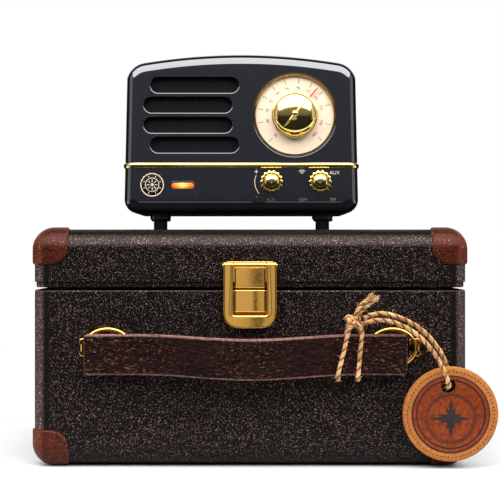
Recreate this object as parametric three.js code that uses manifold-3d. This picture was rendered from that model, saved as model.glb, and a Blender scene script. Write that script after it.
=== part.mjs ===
// A mini metal radio standing on its leather-covered carrying case.
// Millimetres, +Z up, the front faces -Y. The origin is on the floor, under the middle of the whole.
import * as THREE from "three";
import { RoundedBoxGeometry } from "three/addons/geometries/RoundedBoxGeometry.js";
import { mergeVertices } from "three/addons/utils/BufferGeometryUtils.js";
import Module from "manifold-3d";

const wasm = await Module();
wasm.setup();

// ---------- driving dimensions ----------
const GAP = 0.3; // clearance between pieces that touch

// carrying case: x from its middle, y from its front face towards the back, z from the floor
const CASE = {
  width: 157, depth: 100, bottom: 0.8, baseTop: 64, stepBottom: 64.9, lidBottom: 66.7, top: 85.9,
};
const CASE_EDGE_R = 7.3;
const CASE_WALL = 2.6;
const STEP_INSET = 0.6; // the lid's lower strip stands back from its outer face
const CAP = { proud: 0.8, size: 12.8, cornerR: 6.2 };
const FOAM = { floor: 5, wall: 1.2, pocketWidth: 94, pocketDepth: 66 };
const STRAP = { left: -59.3, right: 56, bottom: 33.9, height: 14.6, thick: 2.6, cornerR: 1.4 };
// The strap stands clear of the case, most in the middle.
const STRAP_BOW = { standOff: 4.4, bulge: 6, sag: 1.4, half: 40 };
const RING = { x: 51, z: 43.4, halfWidth: 8.3, halfHeight: 6.6, wireR: 0.75, proud: 2.4 };
const KEEPER_Z = [41.4, 45.4];
const CLASP = {
  width: 19, bottom: 50.4, pinZ: 72.9, pinProud: 2.6, pinR: 0.5, openingHalf: 6, openingBottom: 55,
};
const CLASP_TILE = { upper: [64.6, 74], lower: [56, 64.1], proud: 2.2, plate: 0.7, halfPlate: 8.8 };
const HINGE = { x: 46, width: 16, axisProud: 1.9, axisZ: 64.45, knuckleR: 1.4, leaf: 0.8 };
const TAG = {
  x: 71.6, z: 19.8, r: 17.1, thick: 2.4, holeLeft: 0.9, holeUp: 10.2, holeR: 2.7, proud: 3.6, lean: 3.5,
};
const TWINE_R = 0.9;

// radio: x from its middle, y from its front face towards the back, z from the underside of its body
const RADIO = { x: -3.3, setBack: 24, depth: 52, joint: 45, edge: 4.5, wall: 2.2, footHeight: 6.3 };
const FACE = {
  halfBottom: 44.4, halfTop: 43.4, height: 60.4, shoulder: 57.2, archR: 227, topR: 6.5, bottomR: 5.5,
};
const SLOT = { width: 33.4, height: 6, places: [[-17.6, 48.6], [-20.1, 41.1], [-20.1, 33.5], [-17.6, 26]] };
const DIAL = { x: 20.2, z: 37.2, bezelR: 15.65, plateR: 14.4, depth: 1.5, pointerTurn: 40 };
const BAND = { z: 18.1, height: 2, proud: 0.6, groove: 0.7, end: 44 };
const CONTROL_Z = 11.8;
const VOLUME_X = 11.4;
const MODE_X = 29.7;
const STEM_HOLE_R = 2.4;
const LENS = { x: -22.1, z: 10.6, width: 9.2, height: 2.8 };
const BADGE = { x: -33.6, z: 10.8, r: 4.45 };
const FOOT = { x: [31, 33], y: [9, 43], collarR: 3.9, legR: 2.6, collar: 2.2 };
const SCREW = { x: 39.2, z: [7.5, 47], bossR: 3.3, bossStart: 34 };

// The strap stands out in front of the case and the hinges behind it, and the origin is midway.
const frontReach = STRAP_BOW.standOff + STRAP_BOW.bulge + STRAP.thick;
const rearReach = CASE.depth + HINGE.axisProud + HINGE.knuckleR;
const CASE_FRONT_Y = (frontReach - rearReach) / 2;

// ---------- materials ----------
const paint = (color, roughness, metalness) =>
  new THREE.MeshStandardMaterial({ color, roughness, metalness });
const ENAMEL = paint(0x0b0c12, 0.12, 0.3);
const BLACK_PLASTIC = paint(0x141416, 0.45, 0);
const GRILLE_CLOTH = paint(0x18181a, 0.8, 0.1);
const BRASS = paint(0xcfa04a, 0.18, 1);
const STEEL = paint(0x9a9a9e, 0.35, 1);
const PAPER_CONE = paint(0x2a2725, 0.9, 0);
const CIRCUIT = paint(0x1d5a34, 0.5, 0);
const CREAM = paint(0xf3d9bb, 0.4, 0);
const RED = paint(0xd3222a, 0.4, 0);
const AMBER = paint(0xff8a1c, 0.3, 0);
const CASE_LEATHER = paint(0x2a2020, 0.55, 0);
const CAP_LEATHER = paint(0x6b3022, 0.5, 0);
const STRAP_LEATHER = paint(0x4a2520, 0.5, 0);
const TAG_LEATHER = paint(0xb0683a, 0.6, 0);
const LINING = paint(0x3a2c28, 0.95, 0);
const JUTE = paint(0xc7a06a, 0.95, 0);

// ---------- solids ----------
function solid(geometry) {
  const bare = geometry.index ? geometry.toNonIndexed() : geometry.clone();
  bare.deleteAttribute("normal");
  bare.deleteAttribute("uv");
  const merged = mergeVertices(bare, 1e-4);
  return new wasm.Manifold(
    new wasm.Mesh({
      numProp: 3,
      vertProperties: merged.attributes.position.array,
      triVerts: new Uint32Array(merged.index.array),
    }),
  );
}

function geometryOf(made) {
  const { vertProperties, triVerts } = made.getMesh();
  const geometry = new THREE.BufferGeometry();
  geometry.setAttribute("position", new THREE.BufferAttribute(new Float32Array(vertProperties), 3));
  geometry.setIndex(new THREE.BufferAttribute(new Uint32Array(triVerts), 1));
  geometry.computeVertexNormals();
  return geometry;
}

function piece(group, name, made, material) {
  const mesh = new THREE.Mesh(geometryOf(made), material);
  mesh.name = name;
  group.add(mesh);
}

const join = (first, ...rest) => rest.reduce((all, next) => all.add(next), first);
const cut = (first, ...rest) => rest.reduce((all, next) => all.subtract(next), first);

function box([x0, x1], [y0, y1], [z0, z1]) {
  const geometry = new THREE.BoxGeometry(x1 - x0, y1 - y0, z1 - z0);
  return solid(geometry.translate((x0 + x1) / 2, (y0 + y1) / 2, (z0 + z1) / 2));
}

// A rod or disc from one end to the other along x, y or z.
function rod(along, radius, [from, to], [a, b], sides = 24) {
  const geometry = new THREE.CylinderGeometry(radius, radius, to - from, sides);
  const middle = (from + to) / 2;
  if (along === "x") geometry.rotateZ(Math.PI / 2).translate(middle, a, b);
  if (along === "y") geometry.translate(a, middle, b);
  if (along === "z") geometry.rotateX(Math.PI / 2).translate(a, b, middle);
  return solid(geometry);
}

// A shape drawn in x and z, running along y.
function acrossY(shape, [y0, y1], options = {}) {
  const depth = y1 - y0;
  const settings = { depth, bevelEnabled: false, curveSegments: 8, ...options };
  const geometry = new THREE.ExtrudeGeometry(shape, settings);
  return solid(geometry.rotateX(Math.PI / 2).translate(0, y1, 0));
}

// A shape drawn in x and y, running along z.
function acrossZ(shape, [z0, z1], options = {}) {
  const depth = z1 - z0;
  const settings = { depth, bevelEnabled: false, curveSegments: 8, ...options };
  const geometry = new THREE.ExtrudeGeometry(shape, settings);
  return solid(geometry.translate(0, 0, z0));
}

// A turned piece whose axis runs along y through (x, z): its profile gives radius and y.
function turnedY(profile, [x, z], sides = 32) {
  const points = profile.map(([radius, y]) => new THREE.Vector2(radius, y));
  return solid(new THREE.LatheGeometry(points, sides).translate(x, 0, z));
}

function turnedZ(profile, [x, y], sides = 20) {
  const points = profile.map(([radius, z]) => new THREE.Vector2(radius, z));
  return solid(new THREE.LatheGeometry(points, sides).rotateX(Math.PI / 2).translate(x, y, 0));
}

function outline(points) {
  return new THREE.Shape(points.map(([x, y]) => new THREE.Vector2(x, y)));
}

function roundRect([x0, x1], [y0, y1], radius) {
  const shape = new THREE.Shape();
  shape.absarc(x1 - radius, y1 - radius, radius, 0, Math.PI / 2);
  shape.absarc(x0 + radius, y1 - radius, radius, Math.PI / 2, Math.PI);
  shape.absarc(x0 + radius, y0 + radius, radius, Math.PI, 1.5 * Math.PI);
  shape.absarc(x1 - radius, y0 + radius, radius, 1.5 * Math.PI, 2 * Math.PI);
  return shape;
}

const around = (middle, size) => [middle - size / 2, middle + size / 2];

// A tube of round section along a smooth line through points.
function tube(points, radius, steps, sides = 8, closed = false) {
  const path = new THREE.CatmullRomCurve3(points.map((p) => new THREE.Vector3(...p)), closed);
  const section = new THREE.Shape();
  for (let i = 0; i < sides; i++) {
    const turn = (i / sides) * 2 * Math.PI;
    if (i === 0) section.moveTo(radius, 0);
    else section.lineTo(radius * Math.cos(turn), radius * Math.sin(turn));
  }
  return solid(new THREE.ExtrudeGeometry(section, { steps, extrudePath: path, bevelEnabled: false }));
}

// ---------- carrying case ----------
function caseBlock(grow, segments = 4) {
  const height = CASE.top - CASE.bottom;
  const geometry = new RoundedBoxGeometry(
    CASE.width + 2 * grow, CASE.depth + 2 * grow, height + 2 * grow, segments, CASE_EDGE_R + grow);
  return solid(geometry.translate(0, CASE.depth / 2, CASE.bottom + height / 2));
}

const everyX = [-CASE.width, CASE.width];
const everyY = [-CASE.depth, 2 * CASE.depth];

function caseRoom(inset, zRange) {
  const width = CASE.width - 2 * inset;
  const plan = roundRect(around(0, width), [inset, CASE.depth - inset], CASE_EDGE_R - CASE_WALL);
  return acrossZ(plan, zRange, { curveSegments: 4 });
}

function baseShell() {
  const lower = cut(caseBlock(0), box(everyX, everyY, [CASE.baseTop, 2 * CASE.top]));
  return cut(lower, caseRoom(CASE_WALL, [CASE.bottom + CASE_WALL, CASE.baseTop + 1]));
}

function lidShell() {
  const upper = cut(caseBlock(0), box(everyX, everyY, [-1, CASE.lidBottom]));
  const step = cut(caseBlock(-STEP_INSET), box(everyX, everyY, [-1, CASE.stepBottom]),
    box(everyX, everyY, [CASE.lidBottom + 1, 2 * CASE.top]));
  return cut(join(upper, step), caseRoom(CASE_WALL, [0, CASE.top - CASE_WALL]));
}

// The foam block in the base, with the pocket that holds the radio.
const foamBottom = CASE.bottom + CASE_WALL + GAP;
const pocketX = around(0, FOAM.pocketWidth);
const pocketY = around(CASE.depth / 2, FOAM.pocketDepth);

function foamInsert() {
  const block = caseRoom(CASE_WALL + GAP, [foamBottom, CASE.baseTop - 0.5]);
  const pocket = roundRect(pocketX, pocketY, 4);
  return cut(block, acrossZ(pocket, [foamBottom + FOAM.floor, CASE.baseTop + 1], { curveSegments: 3 }));
}

function lidLining() {
  const top = CASE.top - CASE_WALL - GAP;
  const block = caseRoom(CASE_WALL + GAP, [CASE.stepBottom + 0.5, top]);
  return cut(block, caseRoom(CASE_WALL + GAP + FOAM.wall, [0, top - FOAM.wall]));
}

// A moulded leather cap over one corner; the signs say which corner.
function cornerCap(sideX, sideY, sideZ) {
  const reach = CAP.size + CAP.proud;
  const sheet = cut(caseBlock(CAP.proud, 3), caseBlock(GAP, 3));
  const span = (side, low, high) => {
    const outer = side < 0 ? low - CAP.proud : high + CAP.proud;
    return side < 0 ? [outer, outer + reach] : [outer - reach, outer];
  };
  const x = span(sideX, -CASE.width / 2, CASE.width / 2);
  const y = span(sideY, 0, CASE.depth);
  const z = span(sideZ, CASE.bottom, CASE.top);
  // On each face the patch is a square whose inner corner is rounded.
  const patch = ([u0, u1], [v0, v1], sideU, sideV) => {
    const r = CAP.cornerR;
    const inU = sideU < 0 ? u1 : u0;
    const inV = sideV < 0 ? v1 : v0;
    const outU = sideU < 0 ? u0 - 1 : u1 + 1;
    const outV = sideV < 0 ? v0 - 1 : v1 + 1;
    const shape = new THREE.Shape();
    shape.moveTo(outU, outV);
    shape.lineTo(inU, outV);
    shape.lineTo(inU, inV + sideV * r);
    shape.quadraticCurveTo(inU, inV, inU + sideU * r, inV);
    shape.lineTo(outU, inV);
    return shape;
  };
  const options = { curveSegments: 3 };
  const wide = 4 * CAP.size;
  const front = acrossY(patch(x, z, sideX, sideZ), [y[0] - wide, y[1] + wide], options);
  const above = acrossZ(patch(x, y, sideX, sideY), [z[0] - wide, z[1] + wide], options);
  const side = acrossZ(patch(z, y, sideZ, sideY), [-CASE.width, CASE.width], options).rotate([0, -90, 0]);
  return sheet.intersect(front).intersect(above).intersect(side);
}

// ---------- hinges on the rear face ----------
const hingeY = CASE.depth + HINGE.axisProud;

function hingeLeaf(x, upper) {
  const leafY = [CASE.depth + GAP, CASE.depth + GAP + HINGE.leaf];
  const z = upper ? [CASE.lidBottom + 0.4, CASE.lidBottom + 9] : [CASE.baseTop - 9.6, CASE.baseTop - 1.3];
  const leaf = box(around(x, HINGE.width), leafY, z);
  const third = HINGE.width / 3;
  const bore = rod("x", 0.9, around(x, HINGE.width + 2), [hingeY, HINGE.axisZ], 10);
  const barrel = (from, to) => rod("x", HINGE.knuckleR, [from, to], [hingeY, HINGE.axisZ], 14);
  const x0 = x - HINGE.width / 2;
  if (upper) {
    const middle = [x0 + third + GAP / 2, x0 + 2 * third - GAP / 2];
    const tongue = box(middle, leafY, [HINGE.axisZ, CASE.lidBottom + 1]);
    return cut(join(leaf, barrel(...middle), tongue), bore);
  }
  const left = [x0, x0 + third - GAP / 2];
  const right = [x0 + 2 * third + GAP / 2, x0 + HINGE.width];
  const tongues = [left, right].map((span) => box(span, leafY, [CASE.baseTop - 2, HINGE.axisZ]));
  const pin = rod("x", 0.6, around(x, HINGE.width), [hingeY, HINGE.axisZ], 10);
  return join(leaf, barrel(...left), barrel(...right), ...tongues, pin);
}

// ---------- clasp ----------
const claspAxis = [-CLASP.pinProud, CLASP.pinZ];

function claspLidPlate() {
  const { upper, proud, plate, halfPlate } = CLASP_TILE;
  const back = box([-halfPlate, halfPlate], [-plate, -GAP], [CASE.lidBottom + 0.2, upper[1] + 0.3]);
  const tile = acrossY(roundRect(around(0, 10.5), upper, 0.6), [-proud, -GAP], { curveSegments: 2 });
  const knuckle = rod("x", 1.2, around(0, 10.5), claspAxis, 14);
  return cut(join(back, tile, knuckle), rod("x", CLASP.pinR + GAP, around(0, 12), claspAxis, 10));
}

// A frame that hangs from the pin and stands clear in front of both tiles.
function claspHasp() {
  const { openingHalf, openingBottom, bottom, pinZ, pinProud } = CLASP;
  const half = CLASP.width / 2;
  const top = pinZ + 0.4;
  const shape = new THREE.Shape();
  shape.moveTo(-half, top);
  shape.lineTo(-half, bottom + 5.2);
  shape.quadraticCurveTo(-half + 0.4, bottom, -half + 6.2, bottom);
  shape.lineTo(half - 6.2, bottom);
  shape.quadraticCurveTo(half - 0.4, bottom, half, bottom + 5.2);
  shape.lineTo(half, top);
  shape.lineTo(openingHalf, top);
  shape.lineTo(openingHalf, openingBottom);
  shape.lineTo(-openingHalf, openingBottom);
  shape.lineTo(-openingHalf, top);
  const frame = acrossY(shape, [-pinProud - 1.8, -pinProud], { curveSegments: 5 });
  const knuckle = (from, to) => rod("x", 1.2, [from, to], claspAxis, 14);
  const bore = rod("x", CLASP.pinR + GAP, around(0, 2 * CLASP.width), claspAxis, 10);
  return cut(join(frame, knuckle(-half, -openingHalf), knuckle(openingHalf, half)), bore);
}

const plugSize = { x: around(0, 7.4), z: [57.4, 62.4] };

function claspCatch() {
  const { plate, halfPlate } = CLASP_TILE;
  const grown = ([low, high]) => [low - GAP, high + GAP];
  const window = box(grown(plugSize.x), [-2, 0], grown(plugSize.z));
  return cut(box([-halfPlate, halfPlate], [-plate, -GAP], [52, CASE.baseTop - GAP]), window);
}

function claspButton() {
  const { lower, proud } = CLASP_TILE;
  const tile = acrossY(roundRect(around(0, 10.7), lower, 0.6), [-proud, -1.5], { curveSegments: 2 });
  return join(tile, box(plugSize.x, [-1.6, -0.95], plugSize.z));
}

// ---------- handle ----------
// How far the strap's inner face stands in front of the case at x, and how far it droops there.
function arch(x) {
  return Math.abs(x) < STRAP_BOW.half ? Math.cos((Math.PI / 2) * (x / STRAP_BOW.half)) ** 2 : 0;
}

const strapProud = (x) => STRAP_BOW.standOff + STRAP_BOW.bulge * arch(x);

function strip(x0, x1, steps, inner, outer, [z0, z1]) {
  const xs = Array.from({ length: steps + 1 }, (_, i) => x0 + ((x1 - x0) * i) / steps);
  const points = [...xs.map((x) => [x, -inner(x)]), ...xs.reverse().map((x) => [x, -outer(x)])];
  return acrossZ(outline(points.reverse()), [z0, z1]);
}

// Lets a piece of the handle droop under its own weight towards the middle.
const droop = (made) => made.warp((v) => { v[2] -= STRAP_BOW.sag * arch(v[0]); });

function handleStrap() {
  const z = [STRAP.bottom, STRAP.bottom + STRAP.height];
  const slab = strip(STRAP.left, STRAP.right, 36, strapProud, (x) => strapProud(x) + STRAP.thick, z);
  const outline = roundRect([STRAP.left, STRAP.right], z, STRAP.cornerR);
  const ends = acrossY(outline, [-30, 0], { curveSegments: 3 });
  return droop(slab.intersect(ends));
}

// The ply sewn behind the strap; its folded ends loop round the rings' inner sides.
function strapLining() {
  const back = (x) => strapProud(x) - GAP;
  const ply = strip(-40.6, 40.6, 24, (x) => back(x) - 0.65, back, [37, 45.4]);
  const loop = (side) => {
    const [near, far] = [40.2 * side, 47.4 * side].sort((a, b) => a - b);
    const [holeNear, holeFar] = [41.5 * side, 46.3 * side].sort((a, b) => a - b);
    return cut(box([near, far], [-4.1, -0.35], KEEPER_Z), box([holeNear, holeFar], [-3.45, -1.2], [30, 60]));
  };
  return join(droop(ply), loop(-1), loop(1));
}

function ring(side) {
  const steps = 28;
  const points = Array.from({ length: steps }, (_, i) => {
    const turn = (i / steps) * 2 * Math.PI;
    const x = side * RING.x + RING.halfWidth * Math.cos(turn);
    return [x, -RING.proud, RING.z + RING.halfHeight * Math.sin(turn)];
  });
  return tube(points, RING.wireR, steps, 8, true);
}

// The brass plate that holds a ring's outer side under a hump.
function ringAnchor(side) {
  const wireX = side * (RING.x + RING.halfWidth);
  const outline = roundRect(around(wireX, 4.4), around(RING.z, 6.6), 1.2);
  const plate = acrossY(outline, [-0.9, -GAP], { curveSegments: 3 });
  const hump = cut(box(around(wireX, 4.2), [-4.1, -GAP], around(RING.z, 2.4)),
    box(around(wireX, 2.6), [-RING.proud - 1.1, -RING.proud + 1.1], around(RING.z, 6)));
  return join(plate, hump);
}

// ---------- tag and twine ----------
function tagDisc() {
  const shape = new THREE.Shape().absarc(0, 0, TAG.r, 0, 2 * Math.PI);
  shape.holes.push(new THREE.Path().absarc(-TAG.holeLeft, TAG.holeUp, TAG.holeR, 0, 2 * Math.PI, true));
  return acrossY(shape, around(0, TAG.thick), { curveSegments: 20 })
    .rotate([TAG.lean, 0, 0]).translate([TAG.x, -TAG.proud, TAG.z]);
}

// Out from the knot, through the tag's hole and back: x, y (negative in front of the case) and z.
const TWINE_LEAD = [
  [40.8, -10.6, 52.6], [43.4, -10.5, 53.4], [46.8, -10.3, 53.6], [50.6, -10.0, 52.9], [54.4, -9.7, 51.4],
  [58.0, -9.4, 49.2], [61.2, -9.1, 46.6], [64.0, -8.8, 43.4], [66.4, -8.5, 40.0], [68.4, -8.3, 36.4],
  [69.8, -8.0, 33.0], [70.5, -7.0, 30.6], [70.7, -4.9, 29.6], [70.8, -2.6, 30.6], [70.8, -1.6, 33.2],
  [70.5, -1.6, 36.8], [69.1, -2.0, 40.4], [66.8, -3.0, 44.0], [63.8, -4.4, 47.6], [60.0, -5.9, 50.8],
  [55.6, -7.1, 53.4], [51.0, -8.0, 55.2], [46.6, -8.5, 56.0], [42.6, -8.7, 55.4], [40.6, -8.8, 54.4],
];

function twineLead() {
  return tube(TWINE_LEAD, TWINE_R, 48);
}

// The knot above the strap and the two turns that bind it on.
function twineHitch() {
  const strapTop = STRAP.bottom + STRAP.height;
  const turnAt = (topX, lowX) => {
    const out = strapProud(lowX) + STRAP.thick + GAP + TWINE_R + 0.1;
    const low = STRAP.bottom - GAP - TWINE_R - 0.4;
    const high = strapTop + GAP + TWINE_R + 0.6;
    const behind = 2.2;
    return tube([
      [36.8, -9.4, 52.4], [topX, -out - 0.3, high],
      [(topX + lowX) / 2, -out, 42], [lowX, -out - 0.1, low + 2],
      [lowX, -out + 1.2, low], [lowX + 0.3, -behind - 1, low], [lowX + 0.4, -behind, low + 2],
      [(topX + lowX) / 2 + 0.4, -behind, 42], [topX, -behind, high], [topX + 0.6, -5, high + 1.8],
    ], TWINE_R, 36, 7, true);
  };
  const knot = solid(new THREE.IcosahedronGeometry(2.5, 1).scale(1.05, 0.85, 0.9).translate(36.4, -8, 53.2));
  return join(turnAt(35.0, 31.2), turnAt(39.2, 38.6), knot);
}

// ---------- radio ----------
// Rounds a corner of an outline, from where it has got to, past the corner point, to the end point.
function roundTo(shape, corner, end) {
  const start = [shape.currentPoint.x, shape.currentPoint.y];
  const pull = (from) => from.map((value, i) => value + (corner[i] - value) * 0.56);
  shape.bezierCurveTo(...pull(start), ...pull(end), ...end);
}

// The radio's face seen from the front, grown by a margin: tapered sides under a shallow arch.
function face(grow) {
  const { halfBottom, halfTop, height, shoulder, archR, topR, bottomR } = FACE;
  const centreZ = height - archR;
  const turn = Math.acos((halfTop - topR) / archR);
  const archEnd = [(archR + grow) * Math.cos(turn), centreZ + (archR + grow) * Math.sin(turn)];
  const cornerZ = archEnd[1] - (halfTop + grow - archEnd[0]) / Math.tan(turn);
  const mirrored = ([x, z]) => [-x, z];
  const shape = new THREE.Shape();
  shape.moveTo(halfBottom - bottomR, -grow);
  roundTo(shape, [halfBottom + grow, -grow], [halfBottom + grow, bottomR]);
  shape.lineTo(halfTop + grow, shoulder - topR);
  roundTo(shape, [halfTop + grow, cornerZ], archEnd);
  shape.absarc(0, centreZ, archR + grow, turn, Math.PI - turn);
  roundTo(shape, mirrored([halfTop + grow, cornerZ]), [-halfTop - grow, shoulder - topR]);
  shape.lineTo(-halfBottom - grow, bottomR);
  roundTo(shape, [-halfBottom - grow, -grow], [-halfBottom + bottomR, -grow]);
  return shape;
}

// The whole body, front and rear edges rounded, grown by a margin.
function radioBlock(grow) {
  const round = RADIO.edge + grow;
  return acrossY(face(grow), [RADIO.edge, RADIO.depth - RADIO.edge], {
    bevelEnabled: true, bevelThickness: round, bevelSize: round, bevelOffset: -round,
    bevelSegments: 3, curveSegments: 5,
  }).translate([0, -RADIO.edge - grow + round, 0]);
}

const everyZ = [-50, 150];

function inFront(made, y) {
  return cut(made, box(everyX, [y, 500], everyZ));
}

function radioCasing() {
  const through = [-1, 4];
  const slotHole = (x, z, width, height) =>
    acrossY(roundRect(around(x, width), around(z, height), height / 2 - 0.01), through, { curveSegments: 4 });
  const slots = SLOT.places.map(([x, z]) => slotHole(x, z, SLOT.width, SLOT.height));
  const holes = [
    rod("y", DIAL.bezelR, through, [DIAL.x, DIAL.z], 40),
    rod("y", STEM_HOLE_R, through, [VOLUME_X, CONTROL_Z], 16),
    rod("y", STEM_HOLE_R, through, [MODE_X, CONTROL_Z], 16),
    slotHole(LENS.x, LENS.z, LENS.width, LENS.height),
  ];
  const groove = cut(box(everyX, everyY, around(BAND.z, BAND.height + 2 * GAP)), radioBlock(-BAND.groove));
  const room = acrossY(face(-RADIO.wall), [RADIO.wall, RADIO.joint + 1], { curveSegments: 5 });
  const shell = cut(inFront(radioBlock(0), RADIO.joint), room);
  const bossSpan = [SCREW.bossStart, RADIO.joint];
  const bosses = screwPlaces().map((place) => rod("y", SCREW.bossR, bossSpan, place, 14));
  const pilotSpan = [SCREW.bossStart + 2, RADIO.joint + 1];
  const pilots = screwPlaces().map((place) => rod("y", 1.3, pilotSpan, place, 10));
  return cut(join(shell, ...bosses), ...pilots, inFront(groove, BAND.end + GAP), ...slots, ...holes);
}

function radioRearCover() {
  const back = cut(radioBlock(0), box(everyX, [-50, RADIO.joint + GAP], everyZ));
  const plan = roundRect(around(0, 71), [8, 49], 4);
  const room = acrossY(plan, [RADIO.joint, RADIO.depth - RADIO.wall], { curveSegments: 3 });
  const holes = [
    ...screwPlaces().map(([x, z]) => rod("y", 1.3, [30, 60], [x, z], 12)),
    box(around(USB[0], 8.6), [30, 60], around(USB[1], 3.8)),
    rod("y", 2.9, [30, 60], AUX, 16),
  ];
  return cut(back, room, ...holes);
}

const USB = [-10, 11.5];
const AUX = [6, 11.5];
const screwPlaces = () => [-SCREW.x, SCREW.x].flatMap((x) => SCREW.z.map((z) => [x, z]));

function rearScrew([x, z]) {
  const head = rod("y", 2.1, [RADIO.depth + GAP, RADIO.depth + 1.2], [x, z], 12);
  const shank = rod("y", 1, [RADIO.joint - 6, RADIO.depth + 0.6], [x, z], 10);
  const driverSlot = box(around(x, 3), [RADIO.depth + 0.8, RADIO.depth + 2], around(z, 0.6));
  return cut(join(head, shank), driverSlot);
}

const socketStart = 39.9; // just behind the circuit board

function usbSocket() {
  const [x, z] = USB;
  return cut(box(around(x, 8), [socketStart, RADIO.depth], around(z, 3.2)),
    box(around(x, 6.4), [RADIO.depth - 5, RADIO.depth + 1], around(z, 1.8)));
}

function auxSocket() {
  const body = rod("y", 2.6, [socketStart, RADIO.depth], AUX, 16);
  return cut(body, rod("y", 1.75, [RADIO.depth - 9, RADIO.depth + 1], AUX, 12));
}

function trimBand() {
  const slab = box(everyX, everyY, around(BAND.z, BAND.height));
  const skin = cut(radioBlock(BAND.proud), radioBlock(-BAND.groove + GAP));
  return inFront(skin.intersect(slab), BAND.end);
}

const speakerCentre = [-18.8, 37.3];

function speakerGrille() {
  const y = [RADIO.wall + GAP, RADIO.wall + GAP + 0.6];
  const outline = roundRect(around(speakerCentre[0], 40), around(speakerCentre[1], 32), 2);
  return acrossY(outline, y, { curveSegments: 2 });
}

function speakerFrame() {
  const section = [
    [19.6, 6], [11.6, 18], [10.4, 18], [10.4, 16.6], [18.4, 6], [15, 5], [15, 4], [19.6, 4], [19.6, 6],
  ];
  return turnedY(section, speakerCentre, 28);
}

function speakerCone() {
  const section = [[0, 9.4], [4, 9.2], [5, 11.5], [14.4, 4.4], [14.4, 5.4], [5, 13], [0, 13]];
  return turnedY(section, speakerCentre, 28);
}

function speakerMagnet() {
  return turnedY([[0, 14], [6, 14], [6, 18.4], [11, 18.4], [11, 25], [0, 25]], speakerCentre, 28);
}

function shaftedBox(x, z, size, [y0, y1], shaftY) {
  return join(box(around(x, size), [y0, y1], around(z, size)), rod("y", 1.2, [shaftY, y0 + 1], [x, z], 12));
}

function knobGrip(x, z) {
  const lobes = 16;
  const shape = new THREE.Shape();
  for (let i = 0; i < lobes * 4; i++) {
    const turn = (i / (lobes * 4)) * 2 * Math.PI;
    const radius = 4.1 + 0.32 * Math.cos(lobes * turn);
    const point = [x + radius * Math.cos(turn), z + radius * Math.sin(turn)];
    if (i === 0) shape.moveTo(...point);
    else shape.lineTo(...point);
  }
  const fluted = acrossY(shape, [-3.4, -1]);
  const dome = turnedY([[0, -5.6], [1.6, -5.3], [2.6, -4.5], [3, -3.2], [3, -2], [0, -2]], [x, z], 20);
  const stem = rod("y", 1.9, [-1.5, 3.4], [x, z], 16);
  return join(fluted, dome, stem);
}

function tuningKnob() {
  const at = [DIAL.x, DIAL.z];
  const dome = turnedY([
    [0, -5.4], [2.4, -5.2], [4.8, -4.5], [6.6, -3.3], [7.7, -1.9], [8.1, -0.6], [8.1, -0.2],
    [8.75, -0.1], [8.75, 0.6], [0, 0.6],
  ], at, 30);
  const boss = rod("y", 1.2, [-6, -4], at, 12);
  const ridge = rod("z", 0.35, [-7.6, 7.6], [0, -4.9], 6)
    .warp((v) => { v[1] += 0.03 * v[2] * v[2]; })
    .rotate([0, DIAL.pointerTurn, 0])
    .translate([DIAL.x, 0, DIAL.z]);
  return join(dome, boss, ridge, rod("y", 1.9, [0.5, 3.6], at, 16));
}

// The red mark that turns with the knob, just in front of the scale.
function tuningPointer() {
  const needle = box([-0.22, 0.22], [0.2, 0.7], [9.1, 13.4]);
  return needle.rotate([0, DIAL.pointerTurn, 0]).translate([DIAL.x, 0, DIAL.z]);
}

function dialPlate() {
  const y = [DIAL.depth, DIAL.depth + 0.8];
  const centre = [DIAL.x, DIAL.z];
  return cut(rod("y", DIAL.plateR, y, centre, 40), rod("y", STEM_HOLE_R, [-1, 4], centre, 16));
}

function dialBezel() {
  const r = DIAL.bezelR - GAP;
  const inner = DIAL.plateR + GAP;
  const section = [[inner, 2.4], [inner, 0.3], [r - 0.3, -0.3], [r, -0.2], [r, 2.4], [inner, 2.4]];
  return turnedY(section, [DIAL.x, DIAL.z], 40);
}

function indicatorLens() {
  const [width, height] = [LENS.width - 2 * GAP, LENS.height - 2 * GAP];
  const shape = roundRect(around(LENS.x, width), around(LENS.z, height), height / 2 - 0.01);
  return acrossY(shape, [0.2, 2.6], { curveSegments: 4 });
}

function foot(x, y) {
  const { collarR, legR, collar } = FOOT;
  const bottom = -RADIO.footHeight + 0.1;
  const section = [
    [0, bottom], [legR, bottom], [legR, -collar], [collarR, -collar],
    [collarR, -1], [collarR + 0.4, -GAP], [0, -GAP],
  ];
  return turnedZ(section, [x, y]);
}

// ---------- assembly ----------
const travelCase = new THREE.Group();
travelCase.position.set(0, CASE_FRONT_Y, 0);
piece(travelCase, "base_shell", baseShell(), CASE_LEATHER);
piece(travelCase, "foam_insert", foamInsert(), LINING);
piece(travelCase, "lid_shell", lidShell(), CASE_LEATHER);
piece(travelCase, "lid_lining", lidLining(), LINING);
for (const [tall, sideZ] of [["lower", -1], ["upper", 1]])
  for (const [deep, sideY] of [["front", -1], ["rear", 1]])
    for (const [wide, sideX] of [["left", -1], ["right", 1]])
      piece(travelCase, `corner_cap_${tall}_${deep}_${wide}`, cornerCap(sideX, sideY, sideZ), CAP_LEATHER);
for (const [wide, side] of [["left", -1], ["right", 1]]) {
  piece(travelCase, `hinge_base_leaf_${wide}`, hingeLeaf(side * HINGE.x, false), BRASS);
  piece(travelCase, `hinge_lid_leaf_${wide}`, hingeLeaf(side * HINGE.x, true), BRASS);
  piece(travelCase, `handle_ring_${wide}`, ring(side), BRASS);
  piece(travelCase, `ring_anchor_${wide}`, ringAnchor(side), BRASS);
}
piece(travelCase, "clasp_lid_plate", claspLidPlate(), BRASS);
piece(travelCase, "clasp_hasp", claspHasp(), BRASS);
piece(travelCase, "clasp_pin", rod("x", CLASP.pinR, around(0, CLASP.width + 0.6), claspAxis, 10), BRASS);
piece(travelCase, "clasp_catch", claspCatch(), BRASS);
piece(travelCase, "clasp_button", claspButton(), BRASS);
piece(travelCase, "handle_strap", handleStrap(), STRAP_LEATHER);
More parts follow.
